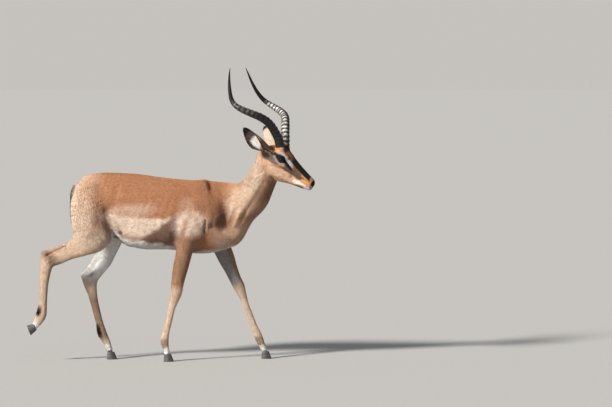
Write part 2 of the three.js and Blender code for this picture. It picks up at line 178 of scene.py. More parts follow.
SUN_FROM = Vector((-0.68, -0.52, 0.52))
SUN_STRENGTH, SUN_SPREAD, SUN_COLOUR = 6.0, math.radians(9), (1.0, 0.96, 0.90)
FILL, BACKDROP = (0.30, 0.31, 0.325, 1), (0.562, 0.542, 0.511, 1)
sun = bpy.data.lights.new("sun", "SUN")
sun.energy = SUN_STRENGTH
sun.angle = SUN_SPREAD
sun.color = SUN_COLOUR
sun_object = bpy.data.objects.new("sun", sun)
sun_object.rotation_euler = SUN_FROM.to_track_quat("Z", "Y").to_euler()
bpy.context.collection.objects.link(sun_object)
world = bpy.data.worlds.new("world")
world.use_nodes = True
tree = world.node_tree
fill = tree.nodes["Background"]
fill.inputs["Color"].default_value = FILL
backdrop = add_node(tree, "ShaderNodeBackground", {"Color": BACKDROP})
seen = add_node(tree, "ShaderNodeMixShader", {},
                Fac=add_node(tree, "ShaderNodeLightPath").outputs["Is Camera Ray"])
tree.links.new(fill.outputs["Background"], seen.inputs[1])
tree.links.new(backdrop.outputs["Background"], seen.inputs[2])
tree.links.new(seen.outputs["Shader"], tree.nodes["World Output"].inputs["Surface"])
bpy.context.scene.world = world
bpy.context.scene.view_settings.view_transform = "Standard"

# ---------------------------------------------------------------------------------------------
# The form under the coat. Every mass of the body is a bar: a line of stations, each
# [x, y, z, half width, radius to its front or top, radius to its back or underside], in the
# animal's own frame, where y = 0 is its middle plane.

BARREL = [
    [-418, 0, 738, 60, 190, 51], [-360, 0, 738, 106, 205, 84], [-285, 0, 728, 127, 215, 74],
    [-215, 0, 716, 134, 223, 128], [-140, 0, 708, 138, 222, 151], [-60, 0, 704, 137, 215, 150],
    [20, 0, 700, 129, 210, 148], [100, 0, 696, 117, 209, 160], [170, 0, 692, 104, 211, 158],
    [230, 0, 690, 92, 197, 143], [285, 0, 688, 74, 160, 124]]
NECK = [
    [235, 0, 738, 88, 130, 92], [295, 0, 770, 83, 122, 128], [350, -1, 798, 73, 94, 114],
    [397, -5, 830, 62, 84, 100], [425, -9, 862, 57, 82, 84], [446, -15, 898, 54, 76, 77],
    [465, -20, 935, 52, 75, 73], [487, -25, 975, 50, 73, 66], [502, -29, 1012, 46, 62, 55]]
SHEATH = [[-210, 0, 585, 14, 14, 14], [-275, 0, 628, 12, 12, 14]]
SCROTUM = [[-395, 0, 665, 22, 20, 20], [-392, 0, 625, 25, 23, 23]]
TAIL = [
    [-476, 0, 868, 19, 16, 20], [-493, 0, 840, 17, 14, 16], [-501, 0, 790, 15, 9, 11],
    [-500, 0, 730, 15, 8, 10], [-492, 0, 672, 15, 8, 9], [-483, 0, 622, 12, 7, 8]]
FORE_RIGHT = [
    [132, -78, 775, 28, 44, 52], [112, -88, 712, 36, 70, 68], [90, -90, 660, 35, 70, 66],
    [72, -87, 610, 33, 54, 52], [64, -84, 545, 33, 42, 43], [49, -82, 485, 30, 41, 41],
    [36, -81, 424, 25, 36, 36], [29, -80, 378, 23, 32, 33], [25, -80, 345, 24, 30, 30],
    [12, -79, 300, 19, 23, 23], [1, -79, 262, 16, 18, 19], [-12, -78, 205, 15, 18, 18],
    [-25, -78, 155, 15, 18, 19], [-34, -78, 107, 19, 21, 23], [-29, -78, 72, 17, 17, 18],
    [-24, -78, 44, 19, 17, 16]]
FORE_LEFT = [
    [170, 78, 775, 28, 44, 52], [190, 88, 712, 36, 66, 66], [205, 90, 660, 35, 66, 66],
    [224, 87, 607, 33, 56, 52], [247, 83, 555, 33, 48, 46], [268, 80, 505, 30, 45, 42],
    [290, 77, 455, 26, 37, 35], [312, 75, 405, 23, 32, 31], [334, 73, 362, 24, 30, 30],
    [351, 72, 320, 19, 22, 22], [367, 71, 272, 16, 18, 19], [387, 70, 220, 15, 18, 18],
    [407, 69, 168, 15, 18, 19], [431, 68, 112, 19, 21, 22], [446, 68, 76, 17, 18, 19],
    [458, 68, 48, 19, 17, 16]]
HIND_RIGHT = {
    "thigh": [
        [-425, -58, 850, 44, 78, 62], [-412, -74, 785, 56, 108, 92], [-396, -82, 715, 55, 108, 106],
        [-382, -86, 650, 48, 94, 108], [-392, -87, 605, 42, 70, 88]],
    "shank": [
        [-345, -86, 632, 43, 54, 64], [-395, -88, 604, 43, 62, 70], [-455, -88, 581, 36, 60, 58],
        [-513, -88, 549, 26, 44, 34], [-565, -88, 521, 22, 38, 24], [-612, -88, 500, 25, 32, 30]],
    "tendon": [
        [-452, -88, 608, 24, 26, 28], [-515, -88, 580, 12, 30, 20], [-575, -88, 556, 10, 32, 20],
        [-630, -88, 535, 13, 26, 20]],
    "heel": [
        [-632, -88, 541, 14, 16, 17], [-633, -88, 500, 18, 22, 20], [-628, -88, 462, 16, 22, 22]],
    "cannon": [
        [-613, -88, 505, 24, 30, 32], [-624, -88, 455, 21, 27, 30], [-634, -88, 395, 17, 24, 23],
        [-639, -88, 335, 15, 23, 20], [-643, -88, 280, 16, 24, 22], [-648, -88, 236, 19, 27, 26],
        [-664, -88, 204, 17, 24, 22], [-682, -88, 178, 18, 18, 17]]}
HIND_LEFT = {
    "thigh": [
        [-425, 58, 850, 44, 78, 62], [-400, 74, 785, 56, 108, 96], [-368, 81, 718, 55, 102, 116],
        [-335, 83, 662, 48, 84, 112], [-335, 82, 618, 42, 66, 84]],
    "shank": [
        [-285, 82, 652, 43, 52, 62], [-303, 80, 600, 42, 52, 66], [-322, 75, 545, 35, 44, 56],
        [-342, 68, 492, 26, 38, 34], [-372, 60, 447, 22, 32, 24], [-407, 53, 402, 25, 30, 30]],
    "tendon": [
        [-345, 72, 572, 24, 24, 30], [-380, 65, 509, 12, 28, 20], [-412, 58, 456, 10, 30, 20],
        [-440, 53, 420, 13, 24, 18]],
    "heel": [
        [-446, 53, 420, 14, 16, 17], [-428, 52, 378, 18, 22, 20], [-414, 51, 352, 16, 20, 20]],
    "cannon": [
        [-408, 53, 405, 24, 30, 34], [-406, 51, 360, 21, 27, 29], [-396, 49, 300, 17, 22, 23],
        [-382, 46, 238, 15, 21, 20], [-366, 43, 180, 16, 20, 21], [-350, 40, 125, 19, 23, 25],
        [-331, 39, 88, 17, 19, 20], [-318, 38, 52, 19, 17, 17]]}

# The head, in its own frame: x forward from an upright line at the top of the neck, about which
# it turns to the right, y across, and z the height above the floor.
HEAD_TURN = math.radians(22)
HEAD_PIVOT = np.array([470, -28, 0]) * MM + [0, midline, 0]
SKULL = [
    [-6, 0, 1022, 45, 42, 48], [38, 0, 1030, 54, 50, 56], [84, 0, 1018, 54, 54, 54],
    [124, 0, 984, 44, 46, 46], [164, 0, 946, 35, 42, 38], [202, 0, 915, 30, 37, 32],
    [238, 0, 892, 28, 28, 27]]
JAW = [
    [76, 0, 930, 38, 40, 34], [125, 0, 910, 32, 30, 23], [165, 0, 896, 26, 26, 21],
    [205, 0, 882, 21, 22, 20], [236, 0, 872, 19, 14, 17]]
CHEEK = [[52, 33, 962, 17, 40, 38], [92, 33, 952, 18, 40, 36], [128, 27, 934, 13, 26, 24]]
BROW = [[72, 40, 1040, 14, 12, 13], [100, 45, 1043, 11, 11, 12], [128, 38, 1018, 11, 11, 14]]
HORN_ROOT = [[90, 26, 1034, 25, 25, 25], [90, 31, 1062, 24.5, 24.5, 24.5]]
EAR_ROOT = [[34, 28, 1030, 18, 20, 20], [35, 42, 1044, 17, 19, 19], [32, 54, 1055, 13, 14, 14]]


def shoulder_blade(side, swing):
    """The shoulder blade with its muscle; swing moves its lower end forward with the leg."""
    return [[160, side * 48, 858, 24, 36, 46], [184, side * 68, 795, 32, 46, 60],
            [212 + swing / 2, side * 80, 725, 36, 44, 58]]


RIGHT, LEFT = -1, 1
SIDES = ((RIGHT, "right"), (LEFT, "left"))
STEPS, HEAD_STEPS = 4, 9  # of a bar's line from one station to the next
CAP = 0.9  # a bar's rounded end, as a share of its mean radius
WIDEST_WINDOW = 6  # steps tried to either side of the nearest point of a line, at most
NEAR = 0.03  # metres from the skin within which bars and strokes shape it
head_turn = np.array([[math.cos(HEAD_TURN), -math.sin(HEAD_TURN), 0],
                      [math.sin(HEAD_TURN), math.cos(HEAD_TURN), 0], [0, 0, 1]])  # rows: x, y, z


def to_own(p):
    """Points of the world in the animal's own frame, in millimetres."""
    return (p - [0, midline, 0]) / MM


def to_head(p):
    """Points of the world in the head's frame, in millimetres."""
    return (p - HEAD_PIVOT) @ head_turn.T / MM


def from_head(q):
    """Points of the head's frame, in millimetres, in the world."""
    return np.asarray(q) * MM @ head_turn + HEAD_PIVOT


def unit(v):
    """Vectors v, each made one long."""
    return v / np.maximum(np.linalg.norm(v, axis=-1, keepdims=True), 1e-12)


def way_from_head(v):
    """Directions of the head's frame, in the world."""
    return unit(from_head(v) - from_head(np.zeros(3)))


def curve(rows, steps):
    """The smooth curve through rows, in this many steps from one row to the next. Between rows
    p1 and p2 every value is the Catmull-Rom curve
    (2 p1 + (p2 - p0) u + (2 p0 - 5 p1 + 4 p2 - p3) u^2 + (3 p1 - p0 - 3 p2 + p3) u^3) / 2."""
    r = np.vstack([2 * rows[0] - rows[1], rows, 2 * rows[-1] - rows[-2]])
    p0, p1, p2, p3 = r[:-3], r[1:-2], r[2:-1], r[3:]
    u = np.linspace(0, 1, steps, endpoint=False)[:, None, None]
    v = (2 * p1 + (p2 - p0) * u + (2 * p0 - 5 * p1 + 4 * p2 - p3) * u ** 2
         + (3 * p1 - p0 - 3 * p2 + p3) * u ** 3) / 2
    return np.vstack([v.transpose(1, 0, 2).reshape(-1, r.shape[1]), rows[-1:]])


def bar(stations, depth, blend, in_head=False):
    """A bar's line in small steps, with its directions and radii at each, all in metres. depth is
    the coat's, which the radii lose, and blend is how far it melts into its neighbours."""
    v = curve(np.array(stations, float) * MM, HEAD_STEPS if in_head else STEPS)
    line = v[:, :3]
    along = unit(np.gradient(line, axis=0))
    out = unit(np.cross(along, [0, 1, 0]))
    side = np.cross(out, along)
    if in_head:
        line = from_head(line / MM)
        along, out, side = along @ head_turn, out @ head_turn, side @ head_turn
    else:
        line = line + [0, midline, 0]
    radii = v[:, 3:] - depth * MM
    caps = CAP * (radii[:, 0] + (radii[:, 1] + radii[:, 2]) / 2) / 2
    reach = radii.max() + NEAR
    stride = np.linalg.norm(np.diff(line, axis=0), axis=1)
    swell = np.abs(np.diff(radii, axis=0)).max(1) * radii[:-1].max(1) / stride ** 2
    return {"line": line, "frame": np.stack([side, out, along], 1), "radii": radii, "caps": caps,
            "window": min(int(np.ceil(swell.max())), WIDEST_WINDOW), "blend": blend * MM,
            "low": line.min(0) - reach, "high": line.max(0) + reach}


def leg_bars(leg, name):
    """The bars of a hind leg."""
    return {f"{name}_thigh": bar(leg["thigh"], 3, 26), f"{name}_shank": bar(leg["shank"], 3, 24),
            f"{name}_tendon": bar(leg["tendon"], 2, 12), f"{name}_heel": bar(leg["heel"], 2, 12),
            f"{name}_cannon": bar(leg["cannon"], 2, 14)}


def head_pair(name, stations, depth, blend):
    """The bars on either side of the head, from the stations of the left one."""
    return {f"{name}_{word}": bar([[x, side * y, *rest] for x, y, *rest in stations], depth, blend, True)
            for side, word in SIDES}


BARS = {
    "barrel": bar(BARREL, 3.5, 0), "neck": bar(NECK, 3.5, 40),
    "blade_right": bar(shoulder_blade(RIGHT, 0), 3.5, 34),
    "blade_left": bar(shoulder_blade(LEFT, 20), 3.5, 34),
    "fore_right": bar(FORE_RIGHT, 2.5, 26), "fore_left": bar(FORE_LEFT, 2.5, 26),
    **leg_bars(HIND_RIGHT, "hind_right"), **leg_bars(HIND_LEFT, "hind_left"),
    "sheath": bar(SHEATH, 3, 20), "scrotum": bar(SCROTUM, 2, 14), "tail": bar(TAIL, 3, 5),
    "skull": bar(SKULL, 2, 22, True), "jaw": bar(JAW, 2, 8, True),
    **head_pair("cheek", CHEEK, 2, 20), **head_pair("brow", BROW, 2, 12),
    **head_pair("horn_root", HORN_ROOT, 1, 14), **head_pair("ear_root", EAR_ROOT, 1, 16)}
FAR = 1.0  # the distance given to points that no bar is near
SAMPLE = 0.0008  # from a point to the samples that its slope is found from
SETTLE_MOST = 0.003  # that a point is moved onto the skin
HEAD_ABOVE = 840  # mm over the floor, below which nothing is painted as head
FACE_AHEAD, FACE_ABOVE = 20, 850  # in the head's frame, mm: where lids, nostrils and mouth are
STROKE_REACH = 2.4  # times its width, where a stroke ends


def bar_distance(b, p, place=False):
    """How far points p are outside the bar, about: with the offset from the line split over the
    bar's directions and divided by its radii r, k0 = |d / r|, k1 = |d / r^2|, and the distance
    is k0 (k0 - 1) / k1. Only the steps of the line round the nearest point of it are tried, more
    of them where the bar swells fast. With place, also how many steps along the line it is."""
    line, frames, radii, caps = (
        b[k].astype(np.float32) for k in ("line", "frame", "radii", "caps"))
    steps = np.diff(line, axis=0)
    lengths = (steps ** 2).sum(1)
    nearest = ((line ** 2).sum(1) - 2 * p.astype(np.float32) @ line.T).argmin(1)
    best = np.full(len(p), FAR, np.float32)
    at = np.zeros(len(p), np.float32)
    for shift in range(-b["window"] - 1, b["window"] + 1):
        i = np.clip(nearest + shift, 0, len(line) - 2)
        d = p - line[i]
        u = np.clip((d * steps[i]).sum(1) / lengths[i], 0, 1)
        d -= u[:, None] * steps[i]
        frame = frames[i]
        frame = frame + u[:, None, None] * (frames[i + 1] - frame)
        x, y, z = np.einsum("nij,nj->in", frame, d)
        w, front, back = (radii[i] + u[:, None] * (radii[i + 1] - radii[i])).T
        r = np.where(y > 0, front, back)
        cap = caps[i] + u * (caps[i + 1] - caps[i])
        a, c, e = x / w, y / r, z / cap
        k0 = np.sqrt(a * a + c * c + e * e)
        k1 = np.sqrt((a / w) ** 2 + (c / r) ** 2 + (e / cap) ** 2)
        distance = k0 * (k0 - 1) / np.maximum(k1, 1e-6)
        if place:
            at = np.where(distance < best, i + u, at)
        best = np.minimum(best, distance)
    return (best, at) if place else best


def smooth_min(a, b, k):
    """The smaller of a and b, rounded where they are within k: min(a, b) - h^2 k / 4, with
    h = max(k - |a - b|, 0) / k."""
    if k == 0:
        return np.minimum(a, b)
    h = np.maximum(k - np.abs(a - b), 0) / k
    return np.minimum(a, b) - h * h * k / 4


# Strokes: lines along which the skin is drawn in (a positive depth) or raised. Those of the body
# are seen from its side: (points in x and z, how far out from the middle they start, width,
# depth, how much further forward the line runs on the left, or None where it has none there).
HIND, FORE = 26, 104  # how much further forward the left thigh and the left upper arm are
BODY_STROKES = [
    ([(18, 732), (24, 670), (14, 608)], 70, 21, 6, FORE + 20),
    ([(187, 884), (203, 800), (215, 734), (200, 672)], 30, 14, 5, 12),
    ([(268, 800), (272, 720), (258, 655)], 30, 27, 8, 16),
    ([(306, 766), (282, 706)], 30, 12, -6, 14),
    ([(344, 742), (316, 686)], 30, 12, -6, 14),
    ([(172, 704), (162, 645)], 60, 8, 5, FORE),
    ([(96, 742), (84, 690), (66, 640)], 70, 15, 4, FORE),
    ([(40, 654), (30, 626)], 60, 15, -5, FORE + 100),
    ([(-272, 862), (-288, 800), (-300, 742)], 40, 17, 7, 8),
    ([(-306, 738), (-288, 712), (-262, 655)], 50, 12, -9, HIND),
    ([(-322, 752), (-316, 690), (-300, 625)], 60, 19, 9, HIND),
    ([(-355, 780), (-368, 700), (-384, 640)], 60, 16, 4, HIND),
    ([(-358, 618), (-350, 602)], 70, 11, -4, HIND + 40),
    ([(-430, 800), (-452, 720), (-456, 660)], 60, 18, 3, HIND),
    ([(-528, 572), (-575, 551), (-616, 529)], 40, 9, 6, None),
    ([(-558, 540), (-612, 497)], 40, 6, -2.5, None),
    ([(22, 470), (13, 400), (6, 350)], 60, 6, 3, None),
    ([(462, 895), (432, 840), (392, 780), (345, 716)], 10, 13, 5, 8),
    ([(186, 898), (194, 862)], 4, 8, 5, 0),
    ([(168, 906), (150, 900)], -10, 16, -4, 0)]
BODY_STROKES += [  # ribs, faint under the flank's skin
    ([(x + 35, 815), (x + 8, 740), (x - 12, 655)], 60, 8, 1.5, 0) for x in (-150, -112, -74, -36)]
HEAD_STROKES = [  # for the head's left side, mirrored for its right
    ([(170, 28, 905), (200, 26, 891), (230, 21, 877), (252, 9, 868), (257, 0, 866)], 2.4, 4),
    ([(122, 42, 1001), (136, 37, 984), (148, 34, 966)], 5, 3),
    ([(150, 36, 962), (118, 46, 972), (84, 52, 978), (50, 50, 990)], 9, -3),
    ([(62, 52, 1012), (38, 52, 1016)], 14, 4),
    ([(150, 22, 1012), (186, 17, 976), (222, 15, 942)], 6, 2),
    ([(60, 44, 905), (88, 44, 918), (120, 36, 924)], 8, 2.5),
    ([(226, 25, 903), (240, 26, 888), (240, 23, 874)], 7, -2.5),
    ([(262, 0, 892), (266, 0, 872)], 2, 2)]


def line_distance(p, points):
    """How far points p are from the line through the given points."""
    nearest = np.full(len(p), np.inf)
    for a, b in zip(np.array(points[:-1], float), np.array(points[1:], float)):
        u = np.clip((p - a) @ (b - a) / ((b - a) @ (b - a)), 0, 1)
        nearest = np.minimum(nearest, ((p - a - u[:, None] * (b - a)) ** 2).sum(1))
    return np.sqrt(nearest)


def stroke(p, points, width):
    """1 on the line through the points, falling away as exp(-(distance / width)^2)."""
    return np.exp(-(line_distance(p, points) / width) ** 2)


def draw_strokes(p, f, strokes):
    """f, in millimetres, after the strokes (points, width, depth) on the points p near them."""
    for points, width, depth in strokes:
        low = np.min(points, 0) - STROKE_REACH * width
        high = np.max(points, 0) + STROKE_REACH * width
        near = np.flatnonzero(((p > low) & (p < high)).all(1))
        if len(near):
            f[near] += depth * stroke(p[near], points, width)
    return f


def draw_body_strokes(p, f):
    """f, in millimetres, after the body's strokes on either side of points p."""
    for side in (RIGHT, LEFT):
        for points, beyond, width, depth, forward in BODY_STROKES:
            if side == LEFT and forward is None:
                continue
            line = np.array(points) + [forward if side == LEFT else 0, 0]
            reach = STROKE_REACH * width
            near = np.flatnonzero((p[:, 1] * side > beyond)
                                  & (p[:, [0, 2]] > line.min(0) - reach).all(1)
                                  & (p[:, [0, 2]] < line.max(0) + reach).all(1))
            if len(near):
                edge = np.clip((p[near, 1] * side - beyond) / 20, 0, 1)
                f[near] += depth * edge * stroke(p[near][:, [0, 2]], line, width)
    return f


# The eye: its place in the left side of the head, its radius, the way it looks, and the slit
# between the lids, from its rear corner to its front one.
EYE_PLACE = np.array([104, 40, 1011])
EYE_RADIUS = 18
EYE_LOOKS = unit(np.array([0.36, 0.92, 0.10]))
EYE_SLIT = unit(np.cross(EYE_LOOKS, [0.50, 0, 0.87]))
EYE_UP = np.cross(EYE_SLIT, EYE_LOOKS)
LID, SLIT_HALF, UPPER_LIFT, LOWER_DROP = 2.2, 17.0, 11.0, 9.0
LID_FOLD = 6.5  # from the upper lid's edge to the crease over it
NOSTRIL = [(257, 11, 897), (260, 15, 889), (253, 19, 886)]
NOSE_PLACE, NOSE_HALF = np.array([258, 0, 889]), np.array([17, 20, 15])  # of its bare pad


def mirror_y(q):
    """Head points of the right side folded onto the left."""
    return np.stack([q[:, 0], np.abs(q[:, 1]), q[:, 2]], 1)


def eye_opening(q):
    """How far head points, folded to the left, are outside the almond between the lids."""
    e = q - EYE_PLACE
    along = e @ EYE_SLIT
    up = e @ EYE_UP
    lid = np.where(up > 0, UPPER_LIFT, LOWER_DROP) * (1 - np.abs(along / SLIT_HALF) ** 2.2)
    beyond = np.abs(along) - SLIT_HALF
    return np.where(beyond < 0, np.abs(up) - lid, np.hypot(beyond, up))


def face(q, f):
    """The skin's distance f near head points q, after lids, nostrils and folds. Millimetres."""
    q = mirror_y(q)
    e = q - EYE_PLACE
    ball = np.linalg.norm(e, axis=1)
    f = smooth_min(f, ball - EYE_RADIUS - LID, 7)
    cut = np.maximum(np.maximum(eye_opening(q), EYE_RADIUS - 3 - ball), -(e @ EYE_LOOKS))
    f = -smooth_min(-f, cut, 1.5)
    crease = np.exp(-((eye_opening(q) - LID_FOLD) / 1.8) ** 2) * (e @ EYE_UP > -2) * (ball < 30)
    f = draw_strokes(q, f + 1.3 * crease, HEAD_STROKES)
    return f + 9 * stroke(q, NOSTRIL, 3.4)


def field(p):
    """About how far points p are outside the skin, negative inside."""
    p = p.astype(np.float32)
    total = np.full(len(p), FAR, np.float32)
    for b in BARS.values():
        near = np.flatnonzero(((p > b["low"]) & (p < b["high"])).all(1))
        if len(near):
            total[near] = smooth_min(total[near], bar_distance(b, p[near]), b["blend"])
    near = np.flatnonzero(np.abs(total) < NEAR)
    total[near] = draw_body_strokes(to_own(p[near]), total[near] / MM) * MM
    q = to_head(p[near])
    on_head = (q[:, 0] > FACE_AHEAD) & (q[:, 2] > FACE_ABOVE)
    near, q = near[on_head], q[on_head]
    if len(near):
        total[near] = face(q, total[near] / MM) * MM
    return total


def grid_lines(low, high, steps):
    """Grid lines from low to high; steps lists (where a spacing ends, the spacing)."""
    lines = [low]
    for end, spacing in steps:
        while lines[-1] < min(end, high):
            lines.append(lines[-1] + spacing)
    return np.array(lines)


def blocks_near(lines, block, wanted=None):
    """Which of a grid's blocks the surface may cross, of the wanted ones, and the others' sign."""
    ends = [(l[:-1:block], l[np.minimum(np.arange(0, len(l) - 1, block) + block, len(l) - 1)])
            for l in lines]
    centres = np.stack(np.meshgrid(*[(a + b) / 2 for a, b in ends], indexing="ij"), -1)
    halves = np.stack(np.meshgrid(*[(b - a) / 2 for a, b in ends], indexing="ij"), -1)
    sizes = np.linalg.norm(halves, axis=-1)
    wanted = np.ones(sizes.shape, bool) if wanted is None else wanted
    rough = np.full(sizes.shape, FAR, np.float32)
    rough[wanted] = field(centres[wanted])
    return wanted & (np.abs(rough) < sizes * 1.4 + 0.002), np.where(rough < 0, -FAR, FAR)


def twice(v):
    """A block's value for each of the eight blocks of half its size."""
    for axis in range(3):
        v = v.repeat(2, axis)
    return v


def signed_grid(lines):
    """field() at the grid's points near the surface, and only its sign, as +-FAR, elsewhere: blocks
    of four steps are sorted first, and those that it may cross again as blocks of two."""
    shape = [len(l) for l in lines]
    half = tuple(slice(0, n // 2) for n in shape)
    near_4, sign_4 = blocks_near(lines, 4)
    wanted = twice(near_4)[half]
    near, sign = blocks_near(lines, 2, wanted)
    sign = np.where(wanted, sign, twice(sign_4)[half]).astype(np.float32)
    cut = tuple(slice(0, n) for n in shape)
    close, values = twice(near), np.pad(twice(sign), ((0, 1),) * 3, mode="edge")[cut]
    marked = np.zeros(shape, bool)
    close = np.pad(close, ((0, 1),) * 3)[cut]
    for i, j, k in np.ndindex(2, 2, 2):  # a block's last points are the next one's first
        marked[i:, j:, k:] |= close[:shape[0] - i, :shape[1] - j, :shape[2] - k]
    index = np.nonzero(marked)
    points = np.stack([l[q] for l, q in zip(lines, index)], 1)
    parts = np.array_split(points, len(points) // 200000 + 1)
    values[index] = np.concatenate([field(part) for part in parts])
    return values


def surface_net(lines, values):
    """A closed quad mesh of the zero surface: one point for each cell that it crosses, at the mean
    of the crossings of the cell's edges, and one quad for each grid edge that it crosses."""
    inside = values < 0
    corners = [(i, j, k) for i in (0, 1) for j in (0, 1) for k in (0, 1)]
    n = [len(l) - 1 for l in lines]
    count = sum(inside[i:n[0] + i, j:n[1] + j, k:n[2] + k].astype(np.int8) for i, j, k in corners)
    cells = np.stack(np.nonzero((count > 0) & (count < 8)), 1)
    total = np.zeros((len(cells), 3))
    hits = np.zeros(len(cells))
    for a in corners:
        for axis in range(3):
            if a[axis]:
                continue
            b = tuple(1 if q == axis else a[q] for q in range(3))
            ia, ib = cells + a, cells + b
            fa, fb = values[tuple(ia.T)], values[tuple(ib.T)]
            cross = np.flatnonzero((fa < 0) != (fb < 0))
            t = (fa / np.where(fa == fb, 1, fa - fb))[cross]
            place = np.stack([lines[q][ia[cross, q]] for q in range(3)], 1)
            place[:, axis] += t * (lines[axis][ib[cross, axis]] - place[:, axis])
            total[cross] += place
            hits[cross] += 1
    number = np.full(n, -1, np.int32)
    number[tuple(cells.T)] = np.arange(len(cells))
    quads = []
    for axis in range(3):
        u, v = (axis + 1) % 3, (axis + 2) % 3
        low = [slice(None)] * 3
        high = [slice(None)] * 3
        low[axis], high[axis] = slice(0, -1), slice(1, None)
        change = inside[tuple(low)] != inside[tuple(high)]
        edges = np.stack(np.nonzero(change), 1)
        edges = edges[(edges[:, u] > 0) & (edges[:, v] > 0)]
        shift = np.zeros((4, 3), int)
        shift[[1, 2], u] = -1
        shift[[2, 3], v] = -1
        quad = np.stack([number[tuple((edges + s).T)] for s in shift], 1)
        flip = ~inside[tuple(edges.T)]
        quad[flip] = quad[flip][:, ::-1]
        quads.append(quad)
    return total / hits[:, None], np.concatenate(quads)


def gradient(p):
    """The field's direction of growth, from four samples at the corners of a tetrahedron."""
    corners = np.array([[1, -1, -1], [-1, -1, 1], [-1, 1, -1], [1, 1, 1]])
    return sum(field(p + c * SAMPLE)[:, None] * c for c in corners) / (4 * SAMPLE)


def settle(p):
    """Points moved onto the skin, by field / |slope|^2 along the field's slope."""
    slope = gradient(p)
    length = np.maximum((slope ** 2).sum(1), 0.3)
    return p - np.clip(field(p) / length, -SETTLE_MOST, SETTLE_MOST)[:, None] * slope


# The grid is finest round the head: ahead of the neck, high up and on the right.
COARSE, FINE = ((4.6 * MM, 1.9 * MM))
low, high = cad_box
net_lines = [
    grid_lines(low[0] - 0.02, 0.735, [(0.495, COARSE), (1, FINE)]),
    grid_lines(-0.165, 0.175, [(0.045, FINE * 1.25), (1, COARSE)]),
    grid_lines(0.020, 1.110, [(0.870, COARSE), (2, FINE)])]
net_points, net_faces = surface_net(net_lines, signed_grid(net_lines))

# Fewer faces where the body is plain, none lost on the head.
SKIN_TRIANGLES = 176000
draft = mesh_object("draft", net_points, net_faces)
plain = draft.vertex_groups.new(name="plain")
plain.add(np.flatnonzero(to_head(net_points)[:, 0] < 0).tolist(), 1.0, "REPLACE")
fewer = draft.modifiers.new("fewer", "DECIMATE")
fewer.vertex_group = "plain"
fewer.ratio = min(1, SKIN_TRIANGLES / (2 * len(net_faces)))
bare = draft.evaluated_get(bpy.context.evaluated_depsgraph_get()).to_mesh()
skin_points = np.empty(len(bare.vertices) * 3)
bare.vertices.foreach_get("co", skin_points)
bare.calc_loop_triangles()
skin_faces = np.empty(len(bare.loop_triangles) * 3, np.int32)
bare.loop_triangles.foreach_get("vertices", skin_faces)
skin_points = settle(skin_points.reshape(-1, 3))
skin_faces = skin_faces.reshape(-1, 3)
bpy.data.objects.remove(draft)

# Ears: a broad leaf curled into a tube at its root, open to the outside and downwards.
EAR_BASE = np.array([38, 42, 1058.0])
EAR_TIP = np.array([-64, 130, 1168.0])
EAR_OPENS = np.array([0.15, 1, -0.66])
EAR_WIDTH, EAR_THICK = 35, 1.9
EAR_STEPS, EAR_SIDES = 44, 22


def rows_of_quads(rows, columns, first=0):
    """The quads of a grid of points closed round its columns, whose first point has this number."""
    index = first + np.arange(rows * columns).reshape(rows, columns)
    after = np.roll(index, -1, 1)
    return np.stack([index[:-1], after[:-1], after[1:], index[1:]], -1).reshape(-1, 4)


def ear_mesh(side, first):
    """One ear's points, its faces, how far up, how far across and whether inside each point
    lies, and the way the hair runs there."""
    axis = EAR_TIP - EAR_BASE
    length = np.linalg.norm(axis)
    up = axis / length
    opens = unit(EAR_OPENS - (EAR_OPENS @ up) * up)
    across = np.cross(up, opens)
    u = np.linspace(0, 0.997, EAR_STEPS)[:, None]
    v = np.linspace(-1, 1, 2 * EAR_SIDES + 1)
    v = np.concatenate([v, v[::-1]])[None, :]
    inner = np.concatenate([np.zeros(2 * EAR_SIDES + 1), np.ones(2 * EAR_SIDES + 1)])[None, :]
    leaf = np.sin(np.pi * (0.22 + 0.78 * u ** 1.6)) ** 0.6
    wide = EAR_WIDTH * leaf * (0.62 + 0.38 * np.minimum(1, u * 2.2)) + 0.5
    wrap = 2.8 + (0.75 - 2.8) * np.clip((u - 0.2) / 0.75, 0, 1)
    rim = 1 - 0.5 * np.abs(v) ** 6
    radius = wide / np.sin(np.minimum(wrap, np.pi / 2)) - EAR_THICK * inner * rim
    angle = v * wrap
    lift = radius * (1 - np.cos(angle)) - (1 - u) * 6 + EAR_THICK * inner * rim
    q = (EAR_BASE + u[..., None] * axis + (radius * np.sin(angle))[..., None] * across
         + lift[..., None] * opens)
    q[..., 1] *= side
    rows, columns = q.shape[:2]
    index = first + np.arange(rows * columns).reshape(rows, columns)
    half = EAR_SIDES * 2
    root, tip = (np.stack([row[:half], row[1:half + 1], row[::-1][1:half + 1], row[::-1][:half]], 1)
                 for row in index[[0, -1]])
    faces = np.concatenate([rows_of_quads(rows, columns, first), root[:, ::-1], tip])
    if side == LEFT:
        faces = faces[:, ::-1]
    shares = [np.broadcast_to(part, (rows, columns)).ravel() for part in (u, v, inner)]
    lie = np.tile(way_from_head(up * [1, side, 1]), (rows * columns, 1))
    return from_head(q.reshape(-1, 3)), faces, np.stack(shares, 1), lie


ears = [ear_mesh(side, len(skin_points)) for side in (RIGHT, LEFT)]
ears[1] = (ears[1][0], ears[1][1] + len(ears[0][0]), *ears[1][2:])
all_points = np.concatenate([skin_points] + [e[0] for e in ears])

# ---------------------------------------------------------------------------------------------
# Where a point of the body lies, for the markings and for the way the hair runs. The hair runs
# from the nose back over the head, neck and trunk, and down the legs, the tail and the ears.

BAR_NAMES = list(BARS)
RUNS_BACK = ("barrel", "neck", "skull", "jaw", "cheek", "brow", "sheath")
MELT = 9 * MM  # over which one mass of the body gives way to the next
SAG = 0.35  # how much the hair of the flanks slopes down


